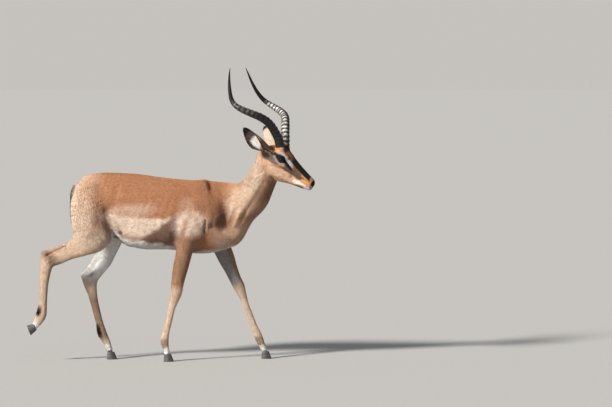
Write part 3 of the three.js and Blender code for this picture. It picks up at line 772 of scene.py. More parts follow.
def locate(p):
    """For points p: each bar's share of them (n x bars), the nearest bar, its steps along the
    line, the side and front coordinates over the radii, and the way the hair lies."""
    distances = np.full((len(p), len(BARS)), FAR, np.float32)
    steps = np.zeros((len(p), len(BARS)), np.float32)
    for i, b in enumerate(BARS.values()):
        near = np.flatnonzero(((p > b["low"]) & (p < b["high"])).all(1))
        if len(near):
            distances[near, i], steps[near, i] = bar_distance(b, p[near].astype(np.float32), True)
    shares = np.exp(-(distances - distances.min(1, keepdims=True)) / MELT)
    shares /= shares.sum(1, keepdims=True)
    nearest = distances.argmin(1)
    sideways, front = np.zeros(len(p)), np.zeros(len(p))
    lie = np.zeros((len(p), 3))
    for i, (name, b) in enumerate(BARS.items()):
        some = np.flatnonzero(shares[:, i] > 0.02)
        at = steps[some, i]
        k = np.minimum(at.astype(int), len(b["line"]) - 2)
        u = (at - k)[:, None]
        line, radii = (b[w][k] + u * (b[w][k + 1] - b[w][k]) for w in ("line", "radii"))
        frames = b["frame"][k] + u[..., None] * (b["frame"][k + 1] - b["frame"][k])
        way = frames[:, 2] * (-1 if name.startswith(RUNS_BACK) else 1)
        lie[some] += way * shares[some, i][:, None]
        own = nearest[some] == i
        parts = ((p[some] - line)[:, None, :] * frames).sum(-1)
        r = np.where(parts[:, 1] > 0, radii[:, 1], radii[:, 2])
        sideways[some[own]] = (parts[:, 0] / radii[:, 0])[own]
        front[some[own]] = (parts[:, 1] / r)[own]
    lie[:, 2] -= SAG * shares[:, BAR_NAMES.index("barrel")] * np.minimum(1, np.abs(sideways) * 2)
    own_steps = steps[np.arange(len(p)), nearest]
    return {"shares": shares, "nearest": nearest, "steps": own_steps, "sideways": sideways,
            "front": front, "lie": unit(lie)}


def bars_named(*words):
    """The numbers of the bars whose names hold one of the words."""
    return [i for i, name in enumerate(BAR_NAMES) if any(word in name for word in words)]


def share_of(place, *words):
    """How much of each point belongs to the bars whose names hold one of the words."""
    return sum(place["shares"][:, i] for i in bars_named(*words))


# ---------------------------------------------------------------------------------------------
# Markings: a reddish saddle over paler flanks and a white belly, tan legs with white inner sides
# and pasterns, black stripes on rump and tail, and the black eye, tear and nose of this race, with
# painted sunlight and painted shade over them for a sun from behind on the right.

SADDLE = (0.365, 0.170, 0.088)
RIDGE = (0.31, 0.125, 0.062)
RUMP = (0.64, 0.43, 0.30)
# The haunch's rear: its own paler hair, lightened further as painted sunlight.
SUNLIT_HAM = (0.72, 0.56, 0.43)
THIGH = (0.70, 0.50, 0.38)
FLANK = (0.64, 0.51, 0.41)
BELLY = (0.66, 0.64, 0.61)
NAPE = (0.62, 0.39, 0.25)
NECK_SIDE = (0.76, 0.59, 0.46)
# The throat's colour in painted shade: the side of the neck away from the sun.
THROAT_SHADE = (0.34, 0.20, 0.14)
# The upper arm's pale colour: painted sunlight on its muscle.
SUNLIT_ARM = (0.78, 0.66, 0.56)
LEG = (0.36, 0.20, 0.115)
SHANK = (0.60, 0.43, 0.31)
CANNON = (0.68, 0.50, 0.365)
CREAM = (0.60, 0.50, 0.39)
WHITE = (0.80, 0.79, 0.77)
# White hair painted grey as in shade.
WHITE_IN_SHADE = (0.25, 0.242, 0.245)
BLACK = (0.009, 0.008, 0.008)
UMBER = (0.085, 0.052, 0.036)
BROWN = (0.20, 0.105, 0.062)
# A dark brown that stands for shade: painted shade, not a colour of the coat.
PAINTED_SHADE = (0.13, 0.065, 0.042)
RUFOUS = (0.20, 0.075, 0.036)
ORANGE = (0.52, 0.235, 0.090)
# The temple's grey-brown, darkened as the ear's painted shadow.
TEMPLE_GREY_AND_SHADOW = (0.105, 0.083, 0.076)
# White hair painted grey-blue as in shade lit by the sky.
BLUE_SHADED_WHITE = (0.36, 0.37, 0.40)
FLANK_LINE = [(-400, 760), (-330, 745), (-285, 735), (-158, 721), (-45, 717), (30, 722), (110, 735)]
BELLY_LINE = [(-330, 700), (-262, 645), (-230, 614), (-114, 596), (-47, 590), (7, 562), (100, 545),
              (158, 551), (263, 566), (330, 582)]
GROIN_TUFT, GROIN_HALF = [(-276, 668), (-258, 620)], 75  # its line, and the width it stays within
GLAND_AT = 4.45  # stations down the hind cannons, where the black tufts over the glands are


def ramp_step(x, low, high):
    """0 below low and 1 above high, or the other way round where low is the larger, rounded."""
    t = np.clip((x - low) / (high - low), 0, 1)
    return t * t * (3 - 2 * t)


def wobble(p, size, seed):
    """A smooth random wave between about -1 and 1 over points p: the mean of six sines of random
    directions, whose wave lengths are near size."""
    dice = np.random.default_rng(seed)
    waves = unit(dice.normal(size=(6, 3))) * 2 * math.pi / (size * dice.uniform(0.6, 1.5, (6, 1)))
    return np.sin(p @ waves.T + dice.uniform(0, 6.3, 6)).mean(1) * 1.6


def paint(colour, mask, new):
    return colour + (np.array(new) - colour) * np.asarray(mask)[:, None]


def paint_line(colour, p, points, half, edge, new, strength=1.0):
    """Colour after a painted line, half as wide as half, with an edge that fades over edge."""
    return paint(colour, strength * ramp_step(line_distance(p, points), half + edge, half), new)


def paint_lines(colour, p, lines):
    """Colour after painted lines: (points, half width, edge, colour, strength)."""
    for points, half, edge, new, strength in lines:
        colour = paint_line(colour, p, points, half, edge, new, strength)
    return colour


def patch_over(own, x, z, wide, high, turn=0):
    """1 in the middle of an oval patch seen from the side, falling away past its edge; turn is
    the slope of its long way."""
    across = (own[:, 0] - x) / wide
    up = (own[:, 2] - z - turn * (own[:, 0] - x)) / high
    return ramp_step(np.hypot(across, up), 1.35, 0.55)


def paint_patches(colour, own, patches, where=1.0):
    """Colour after oval patches, painted as far as where says: (x, z, half length, half height,
    slope, strength, colour)."""
    for x, z, wide, high, turn, strength, new in patches:
        colour = paint(colour, where * patch_over(own, x, z, wide, high, turn) * strength, new)
    return colour


def legs_in_line(own, forward):
    """Points own, those of the left side moved back by how much further forward its leg is."""
    return own - [1, 0, 0] * np.where(own[:, 1] > 0, forward, 0)[:, None]


def trunk_markings(own, place, edge, outside):
    """The colour of back, haunches, flanks and belly, with painted shade and painted highlights, and how
    much each point is of the belly.
    """
    x, y, z = own.T
    colour = np.tile(SADDLE, (len(own), 1))
    colour = paint(colour, ramp_step(z, 905, 930) * ramp_step(np.abs(y), 45, 20) * 0.4, RIDGE)
    # Painted highlight: a pale oval where the saddle's lower edge bulges into the sun.
    colour = paint_patches(colour, own, [(-215, 748, 150, 40, 0.12, 0.42, FLANK)], outside)
    colour = paint(colour, ramp_step(x, -300, -440) * 0.85, RUMP)
    colour = paint_patches(colour, own, [
        (-352, 830, 38, 60, 0, 0.45, SADDLE), (60, 815, 42, 90, 0, 0.3, RIDGE)])

    thigh = share_of(place, "thigh", "shank")
    haunch = legs_in_line(own, HIND)
    colour = paint(colour, ramp_step(haunch[:, 0], -365, -415) * ramp_step(z, 810, 690) * thigh, THIGH)
    # The haunch's rear edge is paler, partly its own paler hair and partly painted sunlight.
    colour = paint(colour, ramp_step(haunch[:, 0], -440, -490) * ramp_step(z, 560, 620) * 0.9, SUNLIT_HAM)
    # Painted shade over the front of the thigh, which turns from the sun, and a painted highlight in the
    # middle of its rear.
    colour = paint_patches(colour, haunch, [
        (-334, 688, 46, 92, 0, 0.7, BROWN), (-330, 755, 30, 26, 0, 0.5, BROWN),
        (-428, 730, 32, 80, 0, 0.5, SUNLIT_HAM)])
    # Painted shade under the thigh and along the underside of the shank.
    colour = paint_patches(colour, haunch, [(-385, 606, 84, 46, 0.3, 0.85, BROWN)], thigh)
    colour = paint_line(colour, haunch[:, [0, 2]], [(-380, 600), (-395, 580), (-440, 545), (-480, 533)],
                        10, 18, BROWN, 0.7 * thigh)

    flank_line = np.interp(x, *np.transpose(FLANK_LINE)) + edge
    flank = ramp_step(z, flank_line + 7, flank_line - 7) * ramp_step(x, 75, 5)
    flank *= 1 - share_of(place, "thigh") * ramp_step(x, -270, -300)
    colour = paint(colour, flank, FLANK)
    # Painted shade on the flank behind the elbow, where the barrel turns forward, away from the sun.
    slant = 602 + 0.7 * (x + 160) + edge
    shade_behind_elbow = ramp_step(z, slant + 8, slant - 16) * ramp_step(x, -185, -110) * ramp_step(x, 60, 20)
    colour = paint(colour, shade_behind_elbow * (z > 540) * outside * 0.92, PAINTED_SHADE)
    belly_line = np.interp(x, *np.transpose(BELLY_LINE)) + edge
    # Painted shade along the flank's lower edge, just above the belly, where the barrel turns under.
    shaded_low_flank = ramp_step(z, belly_line + 40, belly_line + 12) * ramp_step(x, -310, -270)
    colour = paint(colour, shaded_low_flank * ramp_step(x, -40, -120) * outside * 0.5, BROWN)
    belly = ramp_step(z, belly_line + 8, belly_line - 6) * (x > -420) * (x < 340)
    belly *= share_of(place, "barrel", "neck", "sheath")
    return paint(colour, belly, BELLY), belly


def neck_markings(colour, own, place):
    """Colour with the neck, its throat, the withers, the hollow of the shoulder and the chest, with
    painted shade on the throat, withers and hollow and painted sunlight on the neck's side.
    """
    x, z = own[:, 0], own[:, 2]
    neck = share_of(place, "neck", "skull", "jaw", "cheek", "brow", "ear", "horn")
    colour = paint(colour, neck * ramp_step(x, 225, 330), NAPE)
    # Painted sunlight: paler ovals over the neck's side, which faces the sun.
    colour = paint_patches(colour, own, [
        (335, 800, 78, 66, 0.75, 0.6, NECK_SIDE), (408, 925, 52, 100, 0, 0.85, NECK_SIDE)], neck)
    # Painted shade over the throat side of the neck, which faces away from the sun, darker still high up
    # under the jaw.
    underside = neck * ramp_step(x + (900 - z) * 0.6, 430, 500)
    colour = paint(colour, underside * 0.85, THROAT_SHADE)
    colour = paint(colour, underside * ramp_step(z, 760, 830) * 0.85, BROWN)
    colour = paint(colour, ramp_step(z, 858, 885) * ramp_step(x, 60, 180) * ramp_step(x, 420, 330)
                   * 0.35, SADDLE)
    # Painted shade: the crease at the withers, partly redder hair and partly painted shade, the hollow
    # before the shoulder and the front edge of the blade.
    colour = paint_patches(colour, own, [
        (190, 872, 20, 24, -1.0, 0.75, RUFOUS), (248, 695, 56, 112, 0, 0.72, BROWN),
        (248, 720, 34, 72, 0, 0.6, PAINTED_SHADE), (215, 820, 14, 55, -2.0, 0.15, BROWN)])
    chest = ramp_step(x, 180, 240) * ramp_step(z, 700, 640)
    colour = paint(colour, chest * 0.25, NECK_SIDE)
    return paint_patches(colour, own, [
        (262, 582, 38, 24, 0.2, 0.4, NECK_SIDE), (330, 662, 28, 42, 0.8, 0.4, NECK_SIDE)])


def leg_markings(colour, own, place, edge, outside):
    """Colour with the four legs, down to the pasterns, and their white inner sides, partly painted grey
    as in shade, with painted shade on forearms, hock and hind cannons and painted sunlight on the upper
    arm.
    """
    x, y, z = own.T
    front = place["front"]
    fore = share_of(place, "fore")
    arm = legs_in_line(own, FORE)
    # Painted sunlight on the upper arm's muscle, with painted shade in the slit across it.
    upper = patch_over(arm, 104, 690, 88, 66) * outside
    colour = paint(colour, upper * 0.92 * ramp_step(edge, 14, -10), SUNLIT_ARM)
    colour = paint_patches(colour, arm, [
        (80, 775, 40, 50, 0, 0.14, SUNLIT_ARM), (168, 672, 10, 30, 0, 0.6, BROWN)], outside)
    colour = paint(colour, fore * ramp_step(z, 640, 590), LEG)
    colour = paint(colour, fore * ramp_step(z, 395, 350), SHANK)
    colour = paint(colour, fore * ramp_step(z, 320, 280), CANNON)
    # Painted shade on the front half of the forearms, which faces away from the sun.
    colour = paint(colour, fore * ramp_step(front, -0.1, 0.7) * ramp_step(z, 380, 430)
                   * ramp_step(z, 620, 580) * 0.5, BROWN)
    hind = share_of(place, "hind")
    low = share_of(place, "cannon", "heel", "tendon")
    colour = paint(colour, hind * ramp_step(z, 640, 560) * 0.9, SHANK)
    colour = paint(colour, share_of(place, "tendon") * 0.6, BROWN)
    colour = paint(colour, low * 0.55, CANNON)
    # Painted shade in the hollow of the near hock.
    hock_shade = patch_over(own, -600, 520, 58, 34, -0.6)
    colour = paint(colour, hind * hock_shade * ramp_step(y, 0, -40) * 0.6, BROWN)

    inner = place["sideways"] * np.where(y > 0, -1, 1) + 0.12 * wobble(own, 30, 4)
    legs = np.maximum(fore * ramp_step(z, 640, 590), hind * ramp_step(z, 700, 640))
    white_side = ramp_step(inner, 0.05, 0.55) * legs
    white_side *= 1 - fore * ramp_step(front, 0.25, 0.6) * 0.8
    ahead = ramp_step(x, -100, 0)
    high_enough = ahead * ramp_step(z, 340, 400) + (1 - ahead) * ramp_step(z, 330, 450)
    # The white inner sides, painted grey as in shade; the hind ones above the hock are white again.
    colour = paint(colour, white_side * high_enough * 0.95, WHITE_IN_SHADE)
    colour = paint(colour, white_side * (1 - ahead) * ramp_step(z, 380, 430) * 0.75, WHITE)
    colour = paint(colour, white_side * (1 - high_enough) * 0.4, CREAM)
    colour = paint(colour, low * ramp_step(front, 0.35, 0.9) * ramp_step(inner, 0.4, -0.2) * 0.5,
                   UMBER)
    # Painted shadow over the inner side of the hind cannons, below the hock.
    return paint(colour, low * (1 - ahead) * ramp_step(inner, 0.0, 0.4) * ramp_step(z, 370, 290)
                 * 0.75, BROWN)


def feet_and_tail(colour, own, place, edge):
    """Colour with the pasterns, the black tufts of the hind feet, the rump's stripes and the tail."""
    x, y, z = own.T
    fore, front = share_of(place, "fore"), place["front"]
    cannon = share_of(place, "cannon")
    down = place["steps"] / STEPS  # stations down the bar
    band = ramp_step(z, 124, 106) * ramp_step(z, 66, 80)
    colour = paint(colour, fore * band * 0.5, BROWN)
    colour = paint(colour, fore * ramp_step(z, 78 + edge, 64 + edge), WHITE)
    colour = paint(colour, cannon * ramp_step(down, 5.2, 5.9) * 0.8, CREAM)
    colour = paint(colour, cannon * ramp_step(down, 6.1, 6.6) * 0.9, WHITE)
    gland = cannon * np.exp(-((down - GLAND_AT) / 0.42) ** 4) * ramp_step(front, -0.15, -0.45)
    colour = paint(colour, np.clip(gland * 1.5, 0, 1), BLACK)

    behind = ramp_step(x, -455, -478)
    colour = paint(colour, behind * ramp_step(np.abs(y), 46, 34) * ramp_step(z, 830, 790)
                   * ramp_step(z, 600, 640), WHITE)
    stripe = np.abs(np.abs(y) - 52 - 0.05 * (z - 750))
    colour = paint(colour, behind * ramp_step(stripe, 9, 5) * ramp_step(z, 858, 842)
                   * ramp_step(z, 610, 640), BLACK)
    tail = share_of(place, "tail") * ramp_step(x, -472, -488)
    colour = paint(colour, tail, WHITE)
    colour = paint(colour, tail * ramp_step(front, 0.4, 0.1), UMBER)
    colour = paint(colour, tail * ramp_step(z, 650, 630) * ramp_step(front, -0.95, -0.7), WHITE)
    groin = (x < -235) & (x > -300) & (np.abs(y) < GROIN_HALF)
    return paint_line(colour, own[:, [0, 2]], GROIN_TUFT, 7, 6, BLACK, groin * 0.9)


def body_markings(own, place):
    """The colour of the trunk, neck, legs and tail at points own, in millimetres."""
    edge = wobble(own, 45, 1) * 5 + wobble(own, 12, 2) * 3
    outside = ramp_step(np.abs(own[:, 1]), 55, 80)
    colour, belly = trunk_markings(own, place, edge, outside)
    colour = neck_markings(colour, own, place)
    colour = leg_markings(colour, own, place, edge, outside)
    mottle = ramp_step(wobble(own, 90, 3) + wobble(own, 22, 6), 0.2, 1.1)
    colour = paint(colour, mottle * (1 - belly) * 0.14, BROWN)
    return feet_and_tail(colour, own, place, edge)


def head_markings(colour, q, edge_noise):
    """Colour of the head at points q of its frame, the left side standing for both, with the ear's
    painted shadow on the temple and white hair painted grey-blue as in shade.
    """
    q = mirror_y(q)
    x, y, z = q.T
    side = q[:, [0, 2]]
    ridge = np.interp(x, [84, 124, 164, 202, 238, 262], [1071, 1030, 987, 951, 918, 900])
    under_top = ridge - z  # below the line of forehead and nose
    edge = edge_noise * 1.6
    colour = paint(colour, ramp_step(x, 10, 40) * 0.30, ORANGE)
    colour = paint(colour, ramp_step(z + 0.35 * x, 950, 915) * 0.7 * ramp_step(x, 20, 90), CREAM)
    colour = paint_line(colour, side, [(30, 962), (92, 942), (150, 922)], 15 + edge, 14,
                        NECK_SIDE, 0.35)
    for size, seed, low, high, end, strength, new in (
            (15, 8, 0.1, 0.9, 190, 0.35, CREAM), (13, 9, 0.3, 1.0, 210, 0.30, BROWN)):
        tufts = ramp_step(wobble(q * [0.6, 1, 1.4], size, seed), low, high) * ramp_step(z, 1000, 975)
        colour = paint(colour, tufts * ramp_step(x, end, end - 40) * strength, new)
    # The first line is the temple's grey-brown with the ear's painted shadow over it.
    colour = paint_lines(colour, side, [
        ([(-16, 1052), (34, 1030), (82, 1004)], 20 + edge, 8, TEMPLE_GREY_AND_SHADOW, 0.94),
        ([(-30, 1092), (20, 1088), (70, 1074)], 16, 12, BROWN, 0.85),
        ([(108, 988), (150, 958), (196, 930), (228, 912)], 15 + edge, 8, BROWN, 0.95),
        ([(128, 966), (168, 940), (214, 914)], 11 + edge, 8, UMBER, 0.95),
        # The white ring under the eye, painted grey-blue as in shade.
        ([(68, 1024), (78, 1002), (98, 988), (116, 980)], 4, 5, BLUE_SHADED_WHITE, 0.4)])
    forehead = ramp_step(y, 42, 34) * ramp_step(x, 72, 90) * ramp_step(x, 215, 165)
    forehead *= ramp_step(under_top, 30, 18)
    colour = paint(colour, forehead, RUFOUS)
    colour = paint(colour, forehead * ramp_step(wobble(q, 14, 7), -0.3, 0.7) * 0.8, UMBER)
    colour = paint_line(colour, side, [(92, 1068), (80, 1064)], 8, 6, ORANGE, 0.9)
    half = 14 * ramp_step(x, 136, 190)
    deep = half * 0.7
    nose_line = np.maximum(ramp_step(y, half + 4, half), ramp_step(under_top, deep + 4, deep))
    colour = paint(colour, nose_line * ramp_step(x, 142, 160) * ramp_step(x, 248, 240), BLACK)
    colour = paint_lines(colour, side, [
        ([(208, 930), (238, 908)], 5, 5, ORANGE, 0.85 * ramp_step(under_top, 12, 17)),
        ([(164, 900), (196, 893), (218, 886)], 7, 7, CREAM, 0.9),
        ([(182, 896), (206, 890)], 4, 5, WHITE, 0.5),
        ([(206, 902), (226, 893), (242, 884)], 8, 5, ORANGE, 0.95),
        ([(166, 882), (196, 874), (214, 868)], 4, 4, UMBER, 0.55)])
    # The white chin, painted grey-blue as in shade.
    colour = paint(colour, ramp_step(z, 880, 870) * ramp_step(x, 196, 218), BLUE_SHADED_WHITE)
    colour = paint_line(colour, q, [(120, 44, 1003), (134, 40, 982), (150, 33, 960)], 7.0, 4.0, BLACK)
    colour = paint_line(colour, side, [(90, 1026), (74, 1038)], 5.5, 5, BLACK, 0.95 * (y > 30))
    rim = eye_opening(q)
    near_eye = np.linalg.norm(q - EYE_PLACE, axis=1) < 42
    colour = paint(colour, near_eye * ramp_step(rim, 14.5, 11), BLACK)
    # The white brow streak, painted grey-blue as in shade.
    streak = [(100, 1044), (113, 1034), (128, 1014), (143, 993), (162, 970)]
    colour = paint_line(colour, side, streak, 5.0 + edge * 0.5, 3.5, BLUE_SHADED_WHITE,
                        0.95 * ramp_step(y, 14, 19) * ramp_step(x, 168, 148) * ramp_step(rim, 4, 7))
    nose = np.linalg.norm((q - NOSE_PLACE) / NOSE_HALF, axis=1)
    colour = paint(colour, ramp_step(nose, 1.18, 1.04), BLACK)
    mouth = HEAD_STROKES[0][0]
    return paint_line(colour, q, mouth, 1.6, 1.6, UMBER, 0.9)


def markings(p, place):
    """The coat's colour at points p, whose places locate() has found."""
    own = to_own(p)
    colour = body_markings(own, place)
    q = to_head(p)
    head = share_of(place, "skull", "jaw", "cheek", "brow", "ear_root", "horn_root")
    on_head = np.flatnonzero((head > 0.02) & (q[:, 2] > HEAD_ABOVE))
    painted = head_markings(colour[on_head], q[on_head], wobble(q[on_head], 13, 5))
    mix = head[on_head, None] * ramp_step(q[on_head, 0], -22, 6)[:, None]
    colour[on_head] += (painted - colour[on_head]) * mix
    grain = 1 + 0.06 * wobble(own, 26, 11) + 0.05 * wobble(own, 9, 12) + 0.06 * wobble(own, 150, 13)
    return np.clip(colour * grain[:, None], 0, 1)


EAR_BACK = (0.56, 0.45, 0.35)
EAR_INSIDE = (0.080, 0.057, 0.053)
EAR_FRONT = (0.26, 0.125, 0.066)


def ear_markings(shares):
    """Colour by how far up the ear, how far across, and whether inside, for each point."""
    up, across, inside = shares.T
    colour = np.tile(EAR_BACK, (len(up), 1))
    colour = paint(colour, ramp_step(up, 0.35, 0.0) * 0.6, ORANGE)
    colour = paint(colour, ramp_step(across, -0.15, -0.5) * ramp_step(up, 0.85, 0.6) * 0.9, EAR_FRONT)
    colour = paint(colour, inside, EAR_INSIDE)
    white = ramp_step(np.abs(across - 0.22), 0.46, 0.26) * ramp_step(up, 0.62, 0.48)
    colour = paint(colour, inside * white * ramp_step(up, 0.14, 0.24) * 0.75, WHITE)
    colour = paint(colour, inside * ramp_step(across, 0.50, 0.70) * ramp_step(up, 0.3, 0.45), UMBER)
    rim = ramp_step(np.abs(across), 0.88, 0.95)
    colour = paint(colour, rim * 0.92, BLACK)
    return paint(colour, ramp_step(up, 0.84 - 0.10 * inside, 0.92 - 0.08 * inside), BLACK)


# ---------------------------------------------------------------------------------------------
# Skin: the hide itself, one surface over trunk, neck, head, legs, tail and ears, in the colours
# of the coat, with the grain of short hair lying flat on it, and bare wet skin on the nose.

skin_place = locate(skin_points)
skin_colour = np.concatenate([markings(skin_points, skin_place)] + [ear_markings(e[2]) for e in ears])
skin_lie = np.concatenate([skin_place["lie"]] + [e[3] for e in ears])


def attribute(tree, name):
    """The outputs of a node that reads the mesh's attribute of this name."""
    node = add_node(tree, "ShaderNodeAttribute")
    node.attribute_name = name
    return node.outputs


def product(tree, a, b):
    """The output of a node that multiplies the sockets a and b."""
    node = tree.nodes.new("ShaderNodeMath")
    node.operation = "MULTIPLY"
    tree.links.new(a, node.inputs[0])
    tree.links.new(b, node.inputs[1])
    return node.outputs[0]


def scaled(tree, colour, tone):
    """The output of a node that multiplies the socket colour by the socket tone."""
    node = tree.nodes.new("ShaderNodeVectorMath")
    node.operation = "SCALE"
    tree.links.new(colour, node.inputs[0])
    tree.links.new(tone, node.inputs["Scale"])
    return node.outputs[0]


def stretched(tree, value, low, high, start, end):
    """The output of a node that turns low to high of the socket value into start to end."""
    ends = {"From Min": low, "From Max": high, "To Min": start, "To Max": end}
    return add_node(tree, "ShaderNodeMapRange", ends, Value=value).outputs["Result"]


def raise_surface(tree, shader, height, strength, distance):
    """A bump on the shader from the socket height, up to distance metres."""
    lift = add_node(tree, "ShaderNodeBump", {"Strength": strength, "Distance": distance}, Height=height)
    tree.links.new(lift.outputs["Normal"], shader.inputs["Normal"])


GRAIN_LEVEL, GRAIN_UPRIGHT = (60, 420, 420), (420, 420, 60)  # strands to a metre along each axis


def hair_group():
    """Short hair: out of a colour and of how upright the hair runs come the colour with its
    grain, a roughness, and the height of the strands, fine across them and long along them."""
    group = bpy.data.node_groups.new("short hair", "ShaderNodeTree")
    for name, kind in (("Colour", "NodeSocketColor"), ("Upright", "NodeSocketFloat")):
        group.interface.new_socket(name, in_out="INPUT", socket_type=kind)
    for name, kind in (("Colour", "NodeSocketColor"), ("Roughness", "NodeSocketFloat"),
                       ("Height", "NodeSocketFloat")):
        group.interface.new_socket(name, in_out="OUTPUT", socket_type=kind)
    source = group.nodes.new("NodeGroupInput")
    result = group.nodes.new("NodeGroupOutput")
    place = object_place(group)
    grains = []
    for scale in (GRAIN_LEVEL, GRAIN_UPRIGHT):
        mapping = add_node(group, "ShaderNodeMapping", {"Scale": scale}, Vector=place)
        grains.append(noise(group, mapping.outputs["Vector"], 1.0, 3.0))
    strands = add_node(group, "ShaderNodeMix", {}, Factor=source.outputs["Upright"], A=grains[0],
                       B=grains[1]).outputs["Result"]
    tone = stretched(group, strands, 0.25, 0.75, 0.72, 1.22)
    blotch = stretched(group, noise(group, place, 55.0, 4.0), 0.3, 0.7, 0.92, 1.08)
    shade = scaled(group, source.outputs["Colour"], product(group, tone, blotch))
    rough = stretched(group, strands, 0.2, 0.8, 0.66, 0.48)
    for name, out in (("Colour", shade), ("Roughness", rough), ("Height", strands)):
        group.links.new(out, result.inputs[name])
    return group


short_hair = hair_group()


def hair_material(name, bump, with_leather=False):
    """A coat material: colour from the markings, its grain and strands from the hair group; with
    leather, damp pebbled skin where the attribute "bare" is 1."""
    material, tree, shader = new_material(name, 0.55, Specular_IOR_Level=0.12, Sheen_Weight=0.02,
                                          Sheen_Roughness=0.4, Sheen_Tint=(1.0, 0.9, 0.8, 1))
    hair = add_node(tree, "ShaderNodeGroup")
    hair.node_tree = short_hair
    tree.links.new(attribute(tree, "markings")["Color"], hair.inputs["Colour"])
    tree.links.new(attribute(tree, "upright")["Fac"], hair.inputs["Upright"])
    tree.links.new(hair.outputs["Colour"], shader.inputs["Base Color"])
    rough, height = hair.outputs["Roughness"], hair.outputs["Height"]
    if with_leather:
        leather = attribute(tree, "bare")["Fac"]
        pebbles = add_node(tree, "ShaderNodeTexVoronoi", {"Scale": 700.0}, Vector=object_place(tree))
        rough = add_node(tree, "ShaderNodeMix", {"B": 0.3}, Factor=leather, A=rough).outputs["Result"]
        height = add_node(tree, "ShaderNodeMix", {}, Factor=leather, A=height,
                          B=pebbles.outputs["Distance"]).outputs["Result"]
    tree.links.new(rough, shader.inputs["Roughness"])
    raise_surface(tree, shader, height, 0.6, bump)
    return material


def set_colours(mesh, colours):
    """The markings, one colour to a point."""
    layer = mesh.color_attributes.new("markings", "FLOAT_COLOR", "POINT")
    layer.data.foreach_set("color", np.column_stack([colours, np.ones(len(colours))]).ravel())


def set_value(mesh, name, values):
    """A number at each point, under this name."""
    layer = mesh.attributes.new(name, "FLOAT", "POINT")
    layer.data.foreach_set("value", np.asarray(values, np.float32))


def upright(lie):
    """How upright the hair runs, 0 to 1, from the way it lies."""
    return ramp_step(np.abs(lie[:, 2]), 0.45, 0.75)


skin_head = to_head(skin_points)
folded = mirror_y(skin_head)
on_head = skin_head[:, 2] > HEAD_ABOVE
lids = ramp_step(eye_opening(folded), 2.6, 1.4) * (np.linalg.norm(folded - EYE_PLACE, axis=1) < 30)
nose_pad = ramp_step(np.linalg.norm((folded - NOSE_PLACE) / NOSE_HALF, axis=1), 1.14, 1.06)
bare = np.maximum(lids, nose_pad) * on_head

skin = mesh_object("skin", all_points, [skin_faces] + [e[1] for e in ears],
                   hair_material("hide", 0.0006, True))
set_colours(skin.data, skin_colour)
set_value(skin.data, "upright", upright(skin_lie))
set_value(skin.data, "bare", np.concatenate([bare, np.zeros(len(all_points) - len(bare))]))
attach(skin, "root")
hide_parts("trunk", "neck", "head", "tail", "leg_front_right", "leg_front_left",
            "leg_hind_right", "leg_hind_left", "ear_right", "ear_left")

# ---------------------------------------------------------------------------------------------
# Coat: stiff hair in flat locks, rooted in the hide and lying back along the body. A lock is a
# closed sliver of six faces, shortest on face and feet and longer under the neck and belly.

LOCKS = {  # by mass: between locks, a lock's length and width, its tip over the hide (mm)
    "barrel": (3.5, 17, 2.2, 0.8), "neck": (3.3, 15, 2.0, 1.0), "blade": (3.4, 16, 2.1, 0.8),
    "fore": (2.8, 10, 1.5, 0.6), "thigh": (3.3, 15, 2.0, 0.7), "shank": (2.9, 11, 1.6, 0.6),
    "tendon": (2.5, 9, 1.4, 0.5), "heel": (2.5, 9, 1.4, 0.5), "cannon": (2.5, 9, 1.4, 0.5),
    "sheath": (3.2, 15, 2.0, 1.6), "scrotum": (2.8, 9, 1.6, 0.8), "tail": (2.0, 18, 1.6, 1.6),
    "skull": (2.2, 7.5, 1.3, 0.5), "jaw": (2.1, 6.5, 1.2, 0.4), "cheek": (2.3, 8, 1.4, 0.8),
    "brow": (2.0, 6, 1.2, 0.4), "ear_root": (2.3, 9, 1.4, 0.8), "horn_root": (2.0, 9, 1.3, 1.2)}
ON_EARS = (2.3, 8, 1.3, 0.5)
LOCK_FACES = np.array([[0, 2, 1], [0, 3, 2], [0, 1, 3], [4, 1, 2], [4, 2, 3], [4, 3, 1]])
LOCK_UV = np.array([[0, -0.5], [-0.5, -0.12], [0, -0.12], [0.5, -0.12], [0, 0.5]])
RING_AT, RING_HEIGHT = 0.38, 0.22  # of a lock's length and width
ROOT_DEPTH = 0.6 * MM  # of a lock's root under the hide
RING_MOST, TIP_MOST = 0.003, 0.004  # that a lock's ring and tip are moved to the hide's height
WAY_SPREAD = 0.17  # radians that locks turn from the way the hair runs
# A lock's root is painted darker, as shade under the locks over it.
ROOT_SHADE, TIP_TONE, TONE_SPREAD = 0.97, 1.10, 0.075
PATCH = 0.003  # a lock's share of the unwrapped skin, across
TILES = 6  # of the unwrapped skin, along one side; each bar and each ear has one
dice = np.random.default_rng(20)


def vertex_normals(points, triangles):
    """The mean of the normals of the triangles round each point, each as large as its triangle."""
    a, b, c = points[triangles].transpose(1, 0, 2)
    across = np.cross(b - a, c - a)
    total = [np.bincount(triangles.ravel(), np.repeat(across[:, i], 3), len(points)) for i in range(3)]
    return unit(np.stack(total, 1))


def scattered(points, triangles, spacing):
    """Random places on the triangles, area over spacing squared to each: numbers and weights."""
    a, b, c = points[triangles].transpose(1, 0, 2)
    area = np.linalg.norm(np.cross(b - a, c - a), axis=1) / 2
    wanted = area / (spacing[triangles].mean(1) * MM) ** 2
    chosen = np.repeat(np.arange(len(area)), np.floor(wanted + dice.random(len(area))).astype(int))
    u, v = np.sqrt(dice.random(len(chosen))), dice.random(len(chosen))
    return triangles[chosen], np.stack([1 - u, u * (1 - v), u * v], 1)


def between(values, corners, weights):
    return np.einsum("nk...,nk->n...", values[corners], weights)


